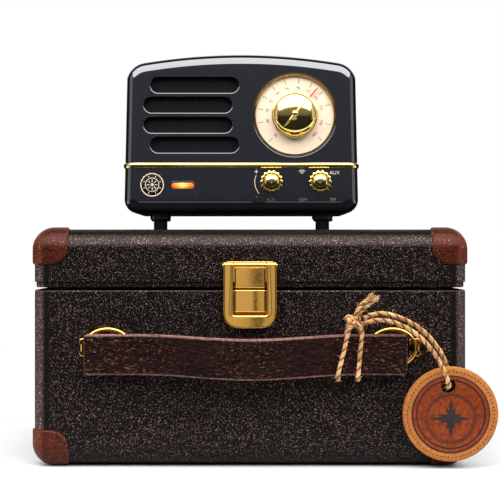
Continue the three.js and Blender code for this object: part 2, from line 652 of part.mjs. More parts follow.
piece(travelCase, "strap_lining", strapLining(), STRAP_LEATHER);
piece(travelCase, "twine_hitch", twineHitch(), JUTE);
piece(travelCase, "twine_lead", twineLead(), JUTE);
piece(travelCase, "tag_disc", tagDisc(), TAG_LEATHER);

const radio = new THREE.Group();
radio.position.set(RADIO.x, CASE_FRONT_Y + RADIO.setBack, CASE.top + RADIO.footHeight);
piece(radio, "radio_casing", radioCasing(), ENAMEL);
piece(radio, "radio_rear_cover", radioRearCover(), ENAMEL);
piece(radio, "trim_band", trimBand(), BRASS);
piece(radio, "speaker_grille", speakerGrille(), GRILLE_CLOTH);
piece(radio, "speaker_frame", speakerFrame(), STEEL);
piece(radio, "speaker_cone", speakerCone(), PAPER_CONE);
piece(radio, "speaker_magnet", speakerMagnet(), STEEL);
piece(radio, "circuit_board", box([-34, 34], [38, 39.6], [3.5, 18]), CIRCUIT);
piece(radio, "battery_pack", box([-34, 8], [32, 42], [20, 52]), BLACK_PLASTIC);
piece(radio, "tuning_gang", shaftedBox(DIAL.x, DIAL.z, 15, [6, 20], 3.9), STEEL);
piece(radio, "volume_pot", shaftedBox(VOLUME_X, CONTROL_Z, 9, [5, 12], 3.7), BLACK_PLASTIC);
piece(radio, "mode_switch", shaftedBox(MODE_X, CONTROL_Z, 9, [5, 12], 3.7), BLACK_PLASTIC);
piece(radio, "dial_plate", dialPlate(), CREAM);
piece(radio, "dial_bezel", dialBezel(), BRASS);
piece(radio, "indicator_lens", indicatorLens(), AMBER);
piece(radio, "emblem_badge", rod("y", BADGE.r, [-0.7, -GAP], [BADGE.x, BADGE.z], 24), BRASS);
piece(radio, "tuning_knob", tuningKnob(), BRASS);
piece(radio, "tuning_pointer", tuningPointer(), RED);
piece(radio, "volume_knob", knobGrip(VOLUME_X, CONTROL_Z), BRASS);
piece(radio, "mode_knob", knobGrip(MODE_X, CONTROL_Z), BRASS);
piece(radio, "usb_socket", usbSocket(), STEEL);
piece(radio, "aux_socket", auxSocket(), BLACK_PLASTIC);
for (const [wide, side] of [["left", -1], ["right", 1]])
  FOOT.y.forEach((y, i) => {
    const deep = ["front", "rear"][i];
    piece(radio, `foot_${deep}_${wide}`, foot(side * FOOT.x[i], y), BLACK_PLASTIC);
  });
screwPlaces().forEach((place, i) => piece(radio, `rear_screw_${i + 1}`, rearScrew(place), STEEL));

const group = new THREE.Group();
group.add(travelCase, radio);
export default group;
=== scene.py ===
# A mini metal radio standing on its leather-covered carrying case.
import math
import random

import bmesh
import bpy
from mathutils import Matrix, Vector, noise


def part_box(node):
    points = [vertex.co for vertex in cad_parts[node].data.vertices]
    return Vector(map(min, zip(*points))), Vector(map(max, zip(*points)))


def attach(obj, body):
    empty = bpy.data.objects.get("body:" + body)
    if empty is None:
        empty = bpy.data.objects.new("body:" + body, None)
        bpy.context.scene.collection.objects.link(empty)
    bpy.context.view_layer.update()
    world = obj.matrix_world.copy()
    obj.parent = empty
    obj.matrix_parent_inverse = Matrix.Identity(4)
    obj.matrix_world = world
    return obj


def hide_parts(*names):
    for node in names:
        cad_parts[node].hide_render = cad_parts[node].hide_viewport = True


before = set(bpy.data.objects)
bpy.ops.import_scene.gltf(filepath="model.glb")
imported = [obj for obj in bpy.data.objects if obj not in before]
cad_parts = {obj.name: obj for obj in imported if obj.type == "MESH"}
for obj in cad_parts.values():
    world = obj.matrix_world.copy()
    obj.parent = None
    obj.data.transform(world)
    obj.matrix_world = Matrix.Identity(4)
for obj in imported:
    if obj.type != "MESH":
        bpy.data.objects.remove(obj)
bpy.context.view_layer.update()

# Sizes are in millimetres, in the frame's own axes, and become metres when a mesh is made.
MM = 0.001
random.seed(7)


def box_mm(node):
    low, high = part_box(node)
    return [v / MM for v in low], [v / MM for v in high]


# ---------- places taken from the frame ----------
base_low, base_high = box_mm("base_shell")
lid_low, lid_high = box_mm("lid_shell")
casing_low, casing_high = box_mm("radio_casing")
cover_high = box_mm("radio_rear_cover")[1]

FRONT = base_low[1]  # the case's front face
BACK = base_high[1]
HALF = base_high[0]
CASE_EDGE = 7.3
WALL = 2.6
STEP_TOP = lid_low[2] + 1.8  # the lid's lower strip ends here
STEP_INSET = 0.6

RADIO_X = (casing_low[0] + casing_high[0]) / 2
RADIO_FRONT = casing_low[1]
RADIO_BOTTOM = casing_low[2]
RADIO_JOINT = casing_high[1] - RADIO_FRONT
RADIO_DEPTH = cover_high[1] - RADIO_FRONT
RADIO_EDGE = 4.5
RADIO_WALL = 2.2
FACE_HALF_BOTTOM = 44.4
FACE_HALF_TOP = 43.4
FACE_HEIGHT = 60.4
FACE_SHOULDER = 57.2
ARCH_R = 227
TOP_R = 6.5
BOTTOM_R = 5.5
SLOT_SIZE = (33.4, 6)
SLOT_PLACES = [(-17.6, 48.6), (-20.1, 41.1), (-20.1, 33.5), (-17.6, 26)]
DIAL = (20.2, 37.2)
BEZEL_R = 15.65
PLATE_R = 14.75
POINTER_TURN = 40
CONTROL_Z = 11.8
VOLUME_X = 11.4
MODE_X = 29.7
LENS = (-22.1, 10.6)
LENS_SIZE = (9.2, 2.8)
BADGE = (-33.6, 10.8)
BADGE_R = 4.45
BAND_Z = 18.1

STRAP_LEFT = box_mm("handle_strap")[0][0]
STRAP_RIGHT = box_mm("handle_strap")[1][0]
STRAP_BOTTOM = 33.9
STRAP_HEIGHT = 14.6
STRAP_THICK = 2.6
STRAP_STAND_OFF = 4.4
STRAP_BULGE = 6
STRAP_SAG = 1.4
BOW_HALF = 40
RING_Z = 43.4
RING_X = 51
RING_HALF_WIDTH = 8.3
RING_HALF_HEIGHT = 6.6
TAG_R = 17.1
TAG_PLACE = (71.6, FRONT - 3.6, 19.8)
TAG_LEAN = math.radians(3.5)
TAG_HOLE = (-0.9, 10.2)
TAG_HOLE_R = 2.7


# ---------- camera ----------
def add_camera():
    data = bpy.data.cameras.new("camera")
    data.lens = 100
    data.sensor_width = 36
    camera = bpy.data.objects.new("camera", data)
    camera.location = Vector((0, FRONT - 500, 78.4)) * MM
    camera.rotation_euler = (math.pi / 2, 0, 0)
    bpy.context.collection.objects.link(camera)
    bpy.context.scene.camera = camera


add_camera()


# ---------- materials ----------
class Nodes:
    """Short calls for making the nodes of one tree."""

    def __init__(self, tree):
        self.tree = tree

    def add(self, kind, **inputs):
        node = self.tree.nodes.new(kind)
        for socket, value in inputs.items():
            self.put(value, node.inputs[socket.replace("_", " ")])
        return node

    def put(self, value, socket):
        if isinstance(value, bpy.types.NodeSocket):
            self.tree.links.new(value, socket)
        else:
            socket.default_value = value

    def math(self, operation, *values):
        node = self.tree.nodes.new("ShaderNodeMath")
        node.operation = operation
        for value, socket in zip(values, node.inputs):
            self.put(value, socket)
        return node.outputs[0]

    def ramp(self, factor, *stops):
        """Maps 0..1 through stops of (place, grey or colour)."""
        node = self.tree.nodes.new("ShaderNodeValToRGB")
        elements = node.color_ramp.elements
        while len(elements) < len(stops):
            elements.new(0.5)
        for element, (place, value) in zip(elements, stops):
            element.position = place
            element.color = (*value, 1) if hasattr(value, "__len__") else (value, value, value, 1)
        self.put(factor, node.inputs[0])
        return node.outputs[0]

    def mix(self, factor, first, second):
        node = self.tree.nodes.new("ShaderNodeMix")
        node.data_type = "RGBA"
        colours = [s for s in node.inputs if s.type == "RGBA"]
        self.put(factor, node.inputs[0])
        for value, socket in zip((first, second), colours):
            self.put((*value, 1) if isinstance(value, tuple) else value, socket)
        return [s for s in node.outputs if s.type == "RGBA"][0]


class Finish(Nodes):
    """A procedural material on one Principled shader."""

    def __init__(self, name, **sockets):
        self.material = bpy.data.materials.new(name)
        self.material.use_nodes = True
        super().__init__(self.material.node_tree)
        self.shader = self.tree.nodes["Principled BSDF"]
        for socket, value in sockets.items():
            self.shader.inputs[socket.replace("_", " ")].default_value = value
        self.coords = self.add("ShaderNodeTexCoord").outputs["Object"]

    def scaled(self, scale):
        return self.add("ShaderNodeMapping", Vector=self.coords, Scale=scale).outputs[0]

    def noise(self, size, detail=4.0, roughness=0.6, where=None):
        """Noise whose blobs are about this many millimetres across."""
        return self.add("ShaderNodeTexNoise", Vector=where or self.coords, Scale=0.6 / (size * MM),
                        Detail=detail, Roughness=roughness).outputs["Fac"]

    def colour(self, socket):
        self.put(socket, self.shader.inputs["Base Color"])

    def rough(self, socket):
        self.put(socket, self.shader.inputs["Roughness"])

    def bump(self, height, depth, layer="Normal"):
        """Relief of about this many millimetres, in the base or in the coat."""
        node = self.add("ShaderNodeBump", Height=height, Distance=depth * MM)
        self.put(node.outputs[0], self.shader.inputs[layer])


def pebbled_leather(name, dark, light, cell, depth, roughness, gloss=0.0, stretch=(1, 1, 1), worn=None,
                    glint_colour=None):
    """Leather with pebbles of about cell millimetres; its specks are painted glints, and its top edges and
    side corners carry a painted highlight that also makes the glints there brighter.
    """
    finish = Finish(name, Roughness=0.6, Specular_IOR_Level=0.06, Coat_Weight=gloss, Coat_Roughness=roughness)
    where = finish.scaled(stretch)
    pebbles = finish.noise(cell, 2.0, 0.55, where)
    broad = finish.noise(cell * 9, 3.0, 0.5, where)
    tone = finish.math("MULTIPLY", pebbles, finish.math("ADD", finish.math("MULTIPLY", broad, 0.8), 0.6))
    colour = finish.ramp(tone, (0.3, dark), (0.65, light))
    if worn:
        wear_and_edge_highlight = finish.ramp(finish.noise(cell * 3.2, 5.0, 0.75, where), (0.52, 0.0), (0.75, 1.0))
        colour = finish.mix(finish.math("MULTIPLY", wear_and_edge_highlight, 0.5), colour, worn)
    if glint_colour:
        # Painted glints: bright specks stand for the pebbles' shine, fewer on surfaces that face partly
        # sideways or upwards.
        glints = finish.ramp(finish.noise(cell * 0.5, 2.0, 0.55, where), (0.595, 0.0), (0.67, 1.0))
        normal = finish.add("ShaderNodeNewGeometry").outputs["Normal"]
        facing = finish.add("ShaderNodeSeparateXYZ", Vector=normal).outputs
        beside = finish.math("ABSOLUTE", facing["X"])
        sideways = finish.ramp(beside, (0.1, 1.0), (0.25, 0.1), (0.38, 0.1), (0.6, 1.0))
        upward = finish.ramp(facing["Z"], (0.55, 1.0), (0.8, 0.05))
        glints = finish.math("MULTIPLY", glints, finish.math("MULTIPLY", sideways, upward))
        # Painted highlight: the top edges and side corners are tinted towards the bright glint colour, and
        # their glints are brighter.
        top_edges = finish.ramp(facing["Z"], (0.12, 0.0), (0.32, 1.0), (0.5, 1.0), (0.75, 0.0))
        corners = finish.ramp(beside, (0.38, 0.0), (0.55, 1.0), (0.9, 1.0), (1.0, 0.0))
        wear_and_edge_highlight = finish.math("ADD", top_edges, corners)
        colour = finish.mix(finish.math("MULTIPLY", wear_and_edge_highlight, 0.2), colour, glint_colour)
        colour = finish.mix(glints, colour, finish.mix(wear_and_edge_highlight, glint_colour, tuple(c * 2.6 for c in glint_colour)))
    finish.colour(colour)
    finish.bump(pebbles, depth)
    finish.bump(pebbles, depth * 0.3, "Coat Normal")
    return finish.material


def metal(name, colour, roughness, scratch=0.01, tint=None):
    """Polished metal with faint handling marks and a slight tarnish."""
    finish = Finish(name, Roughness=roughness, Metallic=1.0)
    cloud = finish.noise(6, 5.0, 0.6)
    finish.colour(finish.mix(finish.ramp(cloud, (0.45, 0.0), (0.75, 0.7)), colour, tint or colour))
    finish.rough(finish.ramp(finish.noise(1.1, 6.0, 0.7), (0.3, roughness * 0.7), (0.75, roughness * 1.5)))
    finish.bump(finish.noise(0.5, 3.0, 0.6), scratch)
    return finish.material


def moulded(name, colour, roughness, grain=0.35, depth=0.02, vary=0.25):
    """Moulded plastic or lacquer: a fine grain and a little variation in colour."""
    finish = Finish(name, Roughness=roughness)
    darker = tuple(c * (1 - vary) for c in colour)
    finish.colour(finish.mix(finish.noise(4, 4.0, 0.6), darker, colour))
    smooth, dull = roughness * 0.85, min(1, roughness * 1.15)
    finish.rough(finish.ramp(finish.noise(1.5, 4.0), (0.3, smooth), (0.7, dull)))
    finish.bump(finish.noise(grain, 2.0), depth)
    return finish.material


def enamel():
    finish = Finish("black_enamel", Roughness=0.4, Specular_IOR_Level=0.0, Coat_Weight=1.0,
                    Coat_Roughness=0.02, Coat_IOR=2.15)
    finish.colour(finish.mix(finish.noise(20, 2.0), (0.002, 0.002, 0.004), (0.004, 0.004, 0.007)))
    finish.bump(finish.noise(9, 2.0, 0.4), 0.003)
    return finish.material


def woven(name, colour, pitch, depth, axes=("X", "Z"), roughness=0.85, sheen=0.0):
    """Plain weave with threads a pitch apart, over and under along two axes."""
    finish = Finish(name, Roughness=roughness, Specular_IOR_Level=0.1, Sheen_Weight=sheen)
    parts = finish.add("ShaderNodeSeparateXYZ", Vector=finish.coords).outputs
    turn = 2 * math.pi / (pitch * MM)
    across, along = (finish.math("SINE", finish.math("MULTIPLY", parts[axis], turn)) for axis in axes)
    height = finish.math("MULTIPLY_ADD", finish.math("MULTIPLY", across, along), 0.5, 0.5)
    fibre = finish.math("ADD", height, finish.math("MULTIPLY", finish.noise(0.4, 3.0), 0.5))
    finish.colour(finish.ramp(fibre, (0.1, tuple(c * 0.35 for c in colour)), (1.0, colour)))
    finish.bump(fibre, depth)
    return finish.material


def jute(name, dark, middle, pale):
    finish = Finish(name, Roughness=0.95, Sheen_Weight=0.15, Specular_IOR_Level=0.1)
    strands = finish.noise(0.35, 5.0, 0.75)
    patches = finish.noise(3.0, 3.0, 0.6)
    tone = finish.math("ADD", finish.math("MULTIPLY", strands, 0.65), finish.math("MULTIPLY", patches, 0.45))
    finish.colour(finish.ramp(tone, (0.38, dark), (0.53, middle), (0.69, pale)))
    finish.bump(strands, 0.2)
    return finish.material


def amber():
    """A lit lens: yellow-orange in the middle and red towards its ends."""
    finish = Finish("amber_lens", Roughness=0.15, Emission_Strength=1.1, Coat_Weight=1.0, Coat_Roughness=0.05)
    parts = finish.add("ShaderNodeSeparateXYZ", Vector=finish.coords).outputs
    middle = ((RADIO_X + LENS[0]) * MM, (RADIO_BOTTOM + LENS[1]) * MM)
    across, up = (finish.math("ABSOLUTE", finish.math("SUBTRACT", parts[axis], at))
                  for axis, at in zip("XZ", middle))
    near = finish.math("ADD", finish.math("DIVIDE", across, LENS_SIZE[0] * 0.55 * MM),
                       finish.math("DIVIDE", up, LENS_SIZE[1] * 1.1 * MM))
    glow = finish.ramp(near, (0.1, (1.0, 0.52, 0.10)), (0.5, (0.95, 0.22, 0.015)), (0.95, (0.50, 0.03, 0.0)))
    finish.colour(glow)
    finish.put(glow, finish.shader.inputs["Emission Color"])
    return finish.material


def dial_card():
    finish = Finish("dial_cream", Roughness=0.42)
    finish.colour(finish.mix(finish.noise(7, 3.0), (0.83, 0.62, 0.44), (0.92, 0.74, 0.56)))
    finish.bump(finish.noise(0.3, 3.0), 0.012)
    return finish.material


CASE_LEATHER = pebbled_leather("case_leather", (0.0008, 0.0003, 0.0002), (0.004, 0.0014, 0.0011),
                               0.5, 0.30, 0.21, gloss=0.08, glint_colour=(0.15, 0.104, 0.090))
CAP_LEATHER = pebbled_leather("cap_leather", (0.016, 0.0022, 0.0006), (0.056, 0.0076, 0.0020),
                              0.55, 0.26, 0.25, gloss=0.15, worn=(0.075, 0.013, 0.004),
                              glint_colour=(0.15, 0.042, 0.020))
STRAP_LEATHER = pebbled_leather("strap_leather", (0.0012, 0.0003, 0.0002), (0.012, 0.0024, 0.0013),
                                0.75, 0.60, 0.23, gloss=0.1, stretch=(0.5, 1, 1.4),
                                worn=(0.018, 0.0040, 0.0024), glint_colour=(0.13, 0.050, 0.032))
EDGE_LEATHER = pebbled_leather("strap_edge", (0.06, 0.025, 0.020), (0.22, 0.115, 0.092), 0.6, 0.10, 0.5)
TAG_TAN = pebbled_leather("tag_tan", (0.26, 0.085, 0.019), (0.38, 0.14, 0.036), 0.6, 0.03, 0.5)
TAG_RED = pebbled_leather("tag_red", (0.10, 0.015, 0.0028), (0.20, 0.036, 0.0075), 0.8, 0.05, 0.4, gloss=0.15)
TAG_INK = moulded("tag_ink", (0.012, 0.0035, 0.002), 0.9)
THREAD = moulded("tag_thread", (0.035, 0.012, 0.005), 0.9, 0.2, 0.05)
JUTE = jute("jute", (0.20, 0.075, 0.020), (0.52, 0.275, 0.105), (0.86, 0.56, 0.29))
# A darker copy of the jute: painted shade for the rope's middle ply.
JUTE_SHADED = jute("jute_shaded", (0.05, 0.017, 0.004), (0.17, 0.064, 0.018), (0.38, 0.175, 0.060))
BRASS = metal("brass", (0.93, 0.51, 0.115), 0.05, 0.001, (0.88, 0.45, 0.09))
GOLD = metal("gold_plate", (0.90, 0.68, 0.22), 0.10, 0.002, (0.80, 0.56, 0.14))
# A darker copy of the brass: painted shade for the catch plate behind the button.
DARK_BRASS = metal("brass_shade", (0.42, 0.25, 0.08), 0.3, 0.01)
STEEL = metal("steel", (0.52, 0.52, 0.54), 0.3, 0.01)
ENAMEL = enamel()
BLACK_PLASTIC = moulded("black_plastic", (0.014, 0.014, 0.015), 0.45)
FOOT_BLACK = moulded("foot_black", (0.011, 0.011, 0.012), 0.24, 0.5, 0.008)
GRILLE_CLOTH = woven("grille_cloth", (0.010, 0.010, 0.011), 0.9, 0.12)
LINING = woven("lining", (0.10, 0.062, 0.050), 0.7, 0.06, ("X", "Y"), 0.95, 0.25)
PAPER = moulded("cone_paper", (0.03, 0.028, 0.026), 0.9, 0.4, 0.05)
CIRCUIT = moulded("circuit", (0.02, 0.12, 0.04), 0.4, 0.8, 0.03)
CREAM = dial_card()
RED = moulded("pointer_red", (0.70, 0.02, 0.02), 0.35)
AMBER = amber()
DIAL_INK = moulded("dial_ink", (0.22, 0.15, 0.12), 0.6)
GILT_INK = moulded("gilt_ink", (0.80, 0.64, 0.42), 0.45)
DIM_GILT = moulded("dim_gilt", (0.20, 0.13, 0.06), 0.5)


# ---------- mesh making ----------
def inside(point, outline):
    """Whether a point lies within an outline of (x, z)."""
    crossings = 0
    for (x0, z0), (x1, z1) in zip(outline, outline[1:] + outline[:1]):
        if (z0 > point.z) != (z1 > point.z) and point.x < x0 + (x1 - x0) * (point.z - z0) / (z1 - z0):
            crossings += 1
    return crossings % 2 == 1


class Shape:
    """A mesh in the making, in millimetres."""

    def __init__(self):
        self.bm = bmesh.new()

    def loop(self, points):
        return [self.bm.verts.new(p) for p in points]

    def bridge(self, first, second, closed=True):
        count = len(first)
        for i in range(count if closed else count - 1):
            j = (i + 1) % count
            self.bm.faces.new((first[i], first[j], second[j], second[i]))

    def skin(self, rings, closed=True):
        for first, second in zip(rings, rings[1:]):
            self.bridge(first, second, closed)

    def loft(self, loops, cyclic=False):
        """Skins loops of equal count, end to end."""
        rings = [self.loop(points) for points in loops]
        self.skin(rings)
        if cyclic:
            self.bridge(rings[-1], rings[0])
        else:
            self.bm.faces.new(rings[0])
            self.bm.faces.new(rings[-1])

    def fill(self, rings):
        """A flat face inside the first ring with the others as holes."""
        edges = []
        for ring in rings:
            for a, b in zip(ring, ring[1:] + ring[:1]):
                edges.append(self.bm.edges.get((a, b)) or self.bm.edges.new((a, b)))
        made = bmesh.ops.triangle_fill(self.bm, use_beauty=True, use_dissolve=False, edges=edges)["geom"]
        holes = [[(v.co.x, v.co.z) for v in ring] for ring in rings[1:]]
        faces = [f for f in made if isinstance(f, bmesh.types.BMFace)]
        covers = [f for f in faces if any(inside(f.calc_center_median(), hole) for hole in holes)]
        bmesh.ops.delete(self.bm, geom=covers, context="FACES_ONLY")

    def add_mesh(self, mesh, matrix=None):
        """Takes in a mesh whose size is already in millimetres."""
        if matrix:
            mesh.transform(matrix)
        self.bm.from_mesh(mesh)
        bpy.data.meshes.remove(mesh)

    def shift(self, matrix, verts=None):
        bmesh.ops.transform(self.bm, matrix=matrix, verts=verts or self.bm.verts)

    def done(self, name, *materials, sharp=35, weighted=False):
        bmesh.ops.remove_doubles(self.bm, verts=self.bm.verts, dist=1e-4)
        bmesh.ops.recalc_face_normals(self.bm, faces=self.bm.faces)
        bmesh.ops.scale(self.bm, vec=(MM, MM, MM), verts=self.bm.verts)
        mesh = bpy.data.meshes.new(name)
        self.bm.to_mesh(mesh)
        self.bm.free()
        mesh.polygons.foreach_set("use_smooth", [True] * len(mesh.polygons))
        mesh.set_sharp_from_angle(angle=math.radians(sharp))
        for material in materials:
            mesh.materials.append(material)
        obj = bpy.data.objects.new(name, mesh)
        bpy.context.collection.objects.link(obj)
        if weighted:
            obj.modifiers.new("even_shading", "WEIGHTED_NORMAL").keep_sharp = True
        return obj


def place(obj, body, slot, *replaced):
    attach(obj, body)
    if replaced:
        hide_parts(*replaced)
    return obj


def circle(radius, steps=48):
    turns = [2 * math.pi * i / steps for i in range(steps)]
    return [(radius * math.cos(t), radius * math.sin(t)) for t in turns]


def quarter(steps):
    """The sine and cosine at even steps through a right angle."""
    turns = [math.pi / 2 * i / steps for i in range(steps + 1)]
    return [(math.sin(t), math.cos(t)) for t in turns]


def on_y(points, y, centre=(0, 0)):
    """Puts flat (x, z) points at a depth y."""
    return [(centre[0] + a, y, centre[1] + b) for a, b in points]


def turned_y(shape, profile, centre, steps=64):
    """A turned piece about the y axis through centre (x, z): the profile gives radius and y."""
    shape.loft([on_y(circle(max(r, 1e-5), steps), y, centre) for r, y in profile])


def arc(centre, radius, start, end, steps):
    """Points from one angle to another, in degrees, both ends included."""
    turns = [math.radians(start + (end - start) * i / steps) for i in range(steps + 1)]
    return [(centre[0] + radius * math.cos(t), centre[1] + radius * math.sin(t)) for t in turns]


def round_rect(x0, x1, y0, y1, radius, steps=8):
    r = max(radius, 1e-4)
    corners = [(x1 - r, y1 - r), (x0 + r, y1 - r), (x0 + r, y0 + r), (x1 - r, y0 + r)]
    return [point for turn, centre in enumerate(corners)
            for point in arc(centre, r, 90 * turn, 90 * turn + 90, steps)]


def stadium(width, height, grow=0.0, steps=14):
    across, up = width / 2 + grow, height / 2 + grow
    return round_rect(-across, across, -up, up, up, steps)


def smooth_path(points, steps, closed=False):
    """Points along a Catmull-Rom line through the given ones."""
    pts = [Vector(p) for p in points]
    pts = [pts[-1]] + pts + pts[:2] if closed else pts[:1] + pts + pts[-1:]
    spans = len(pts) - 3
    out = []
    for i in range(steps if closed else steps + 1):
        at = spans * i / steps
        k = min(int(at), spans - 1)
        t = at - k
        p0, p1, p2, p3 = pts[k:k + 4]
        out.append(0.5 * (2 * p1 + (p2 - p0) * t + (2 * p0 - 5 * p1 + 4 * p2 - p3) * t * t
                          + (3 * p1 - p0 - 3 * p2 + p3) * t ** 3))
    return out


def along(path, closed=False):
    """At each point of a path: the point and two directions square to it, without twist."""
    count = len(path)
    tangents = []
    for i in range(count):
        before = path[(i - 1) % count] if closed or i else path[i]
        after = path[(i + 1) % count] if closed or i < count - 1 else path[i]
        tangents.append((after - before).normalized())
    side = tangents[0].orthogonal().normalized()
    rows = []
    for point, tangent in zip(path, tangents):
        side = (side - tangent * side.dot(tangent)).normalized()
        rows.append([point, side, tangent.cross(side)])
    if closed:
        last = rows[-1][1] - tangents[0] * rows[-1][1].dot(tangents[0])
        turn = math.atan2(last.dot(rows[0][2]), last.dot(rows[0][1]))
        for i, row in enumerate(rows):
            spin = -turn * i / count
            a, b = row[1], row[2]
            row[1] = a * math.cos(spin) + b * math.sin(spin)
            row[2] = b * math.cos(spin) - a * math.sin(spin)
    return rows


def add_tube(shape, path, radius, sides=12, closed=False, taper=0.0):
    """A round tube that thins by a share of its radius towards its far end."""
    rows = along(path, closed)
    loops = []
    for i, (point, a, b) in enumerate(rows):
        r = radius * (1 - taper * (i / (len(rows) - 1)))
        loops.append([point + a * u * r + b * v * r for u, v in circle(1, sides)])
    shape.loft(loops, cyclic=closed)


def any_way():
    """A random drift, up to 1 along each axis."""
    return Vector((random.uniform(-1, 1), random.uniform(-1, 1), random.uniform(-1, 1)))


def add_rope(shape, path, radius, lay=3.4, plies=3, sides=8, closed=False):
    """Plies twisted round a path, one turn in every lay millimetres; the middle ply takes the darker jute, a
    painted shade.
    """
    rows = along(path, closed)
    count = len(rows)
    travelled = [0.0]
    for i in range(1, count):
        travelled.append(travelled[-1] + (rows[i][0] - rows[i - 1][0]).length)
    turns = travelled[-1] / lay
    if closed:
        turns = round(turns)
    ply_r = radius * 0.5
    for ply in range(plies):
        strand = []
        for i, (point, a, b) in enumerate(rows):
            turn = 2 * math.pi * (turns * travelled[i] / travelled[-1] + ply / plies)
            wobble = 1 + 0.12 * noise.noise(point * 0.9 + Vector((ply * 9, 0, 0)))
            strand.append(point + (a * math.cos(turn) + b * math.sin(turn)) * radius * 0.54 * wobble)
        known = len(shape.bm.faces)
        add_tube(shape, strand, ply_r, sides, closed)
        for face in list(shape.bm.faces)[known:]:
            face.material_index = ply % 2


def add_fibres(shape, path, radius, count, reach, thick=0.06):
    """Loose hairs that stand off a rope."""
    rows = along(path)
    for _ in range(count):
        point, a, b = rows[random.randrange(len(rows))]
        turn = random.uniform(0, 2 * math.pi)
        out = a * math.cos(turn) + b * math.sin(turn)
        drift = any_way()
        start = point + out * radius * 0.7
        length = random.uniform(0.4, 1) * reach
        middle = start + out * length * 0.5 + drift * length * 0.4
        end = start + out * length * 0.7 + drift * length * 0.9
        hair = smooth_path([start, middle, end], 4)
        add_tube(shape, hair, thick, 4, taper=0.7)


# ---------- twine and tag ----------
# Out from the knot, through the tag's hole and back: x, y (negative in front of the case) and z.
TWINE_LEAD = [
    (40.8, -10.6, 52.6), (43.4, -10.5, 53.4), (46.8, -10.3, 53.6), (50.6, -10.0, 52.9), (54.4, -9.7, 51.4),
    (58.0, -9.4, 49.2), (61.2, -9.1, 46.6), (64.0, -8.8, 43.4), (66.4, -8.5, 40.0), (68.4, -8.3, 36.4),
    (69.8, -8.0, 33.0), (70.5, -7.0, 30.6), (70.7, -4.9, 29.6), (70.8, -2.6, 30.6), (70.8, -1.6, 33.2),
    (70.5, -1.6, 36.8), (69.1, -2.0, 40.4), (66.8, -3.0, 44.0), (63.8, -4.4, 47.6), (60.0, -5.9, 50.8),
    (55.6, -7.1, 53.4), (51.0, -8.0, 55.2), (46.6, -8.5, 56.0), (42.6, -8.7, 55.4), (40.6, -8.8, 54.4),
]
TWINE_R = 0.8
KNOT = Vector((36.4, FRONT - 8.4, 53.4))


def add_twine_lead():
    points = [Vector((x, y + FRONT, z)) for x, y, z in TWINE_LEAD]
    path = smooth_path(points, 300)
    shape = Shape()
    add_rope(shape, path, TWINE_R)
    lead = place(shape.done("twine_lead_rope", JUTE, JUTE_SHADED, sharp=80), "tag", "jute", "twine_lead")
    hairs = Shape()
    add_fibres(hairs, path, TWINE_R, 260, 1.5)
    place(hairs.done("twine_lead_hairs", JUTE, sharp=80), "tag", "jute")


add_twine_lead()


def bow(x):
    return math.cos(math.pi / 2 * x / BOW_HALF) ** 2 if abs(x) < BOW_HALF else 0.0


def strap_proud(x):
    return STRAP_STAND_OFF + STRAP_BULGE * bow(x)


def hitch_turn(top_x, low_x):
    """One turn of twine from the knot down the strap's front and up behind it."""
    out = strap_proud(low_x) + STRAP_THICK + TWINE_R + 0.3
    low = STRAP_BOTTOM - TWINE_R - 0.5
    high = STRAP_BOTTOM + STRAP_HEIGHT + TWINE_R + 0.9
    behind = 2.2
    middle_x = (top_x + low_x) / 2
    points = [
        (36.8, -9.4, 52.4), (top_x, -out - 0.3, high), (middle_x, -out, 42), (low_x, -out - 0.1, low + 2),
        (low_x, -out + 1.2, low), (low_x + 0.3, -behind - 1, low), (low_x + 0.4, -behind, low + 2),
        (middle_x + 0.4, -behind, 42), (top_x, -behind, high), (top_x + 0.6, -5, high + 1.8),
    ]
    return [(x, y + FRONT, z) for x, y, z in points]


def knot_path(steps=110):
    """A three-lobed overhand knot drawn tight."""
    points = []
    for i in range(steps):
        t = 2 * math.pi * i / steps
        across = math.sin(t) + 1.55 * math.sin(2 * t)
        up = math.cos(t) - 1.55 * math.cos(2 * t)
        points.append(KNOT + Vector((across * 0.86, 0.75 * math.sin(3 * t), up * 0.78)))
    return points


def add_twine_hitch():
    shape = Shape()
    hairs = Shape()
    for top_x, low_x in ((35.0, 31.2), (39.6, 38.4)):
        path = smooth_path(hitch_turn(top_x, low_x), 170, closed=True)
        add_rope(shape, path, TWINE_R, closed=True)
        add_fibres(hairs, path, TWINE_R, 110, 1.4)
    knot = knot_path()
    add_rope(shape, knot, TWINE_R * 1.05, closed=True)
    add_fibres(hairs, [p for p in knot if p.x < KNOT.x - 0.5], TWINE_R, 50, 1.3)
    # Two cut ends stand up from the knot and fray out.
    for lean, tip in ((0.0, (41.6, -9.6, 61.0)), (1.0, (43.4, -8.6, 60.2))):
        start = KNOT + Vector((0.6, -0.6 + lean, 1.2))
        end = Vector((tip[0], tip[1] + FRONT, tip[2]))
        middle = (start + end) / 2 + Vector((-0.7 + lean, -0.7, 0.4))
        path = smooth_path([start, middle, end], 40)
        add_rope(shape, path, TWINE_R * 0.95, lay=4.2)
        add_fibres(hairs, path[18:], TWINE_R, 24, 1.3)
        flow = (end - middle).normalized()
        for _ in range(16):
            spread = any_way() * 1.1
            root = end - flow * 1.2 + spread * 0.3
            fringe = smooth_path([root, root + flow * 1.6 + spread * 0.4, root + flow * 3.0 + spread], 5)
            add_tube(hairs, fringe, 0.17, 5, taper=0.55)
    place(shape.done("twine_hitch_rope", JUTE, JUTE_SHADED, sharp=80), "handle", "jute", "twine_hitch")
    place(hairs.done("twine_hitch_hairs", JUTE, sharp=80), "handle", "jute")


TAG_TO_PLACE = Matrix.Translation(Vector(TAG_PLACE)) @ Matrix.Rotation(TAG_LEAN, 4, "X")
TAG_HALF = 1.2
TAG_FACE = -TAG_HALF - 0.28
TAG_GROOVE = 0.22


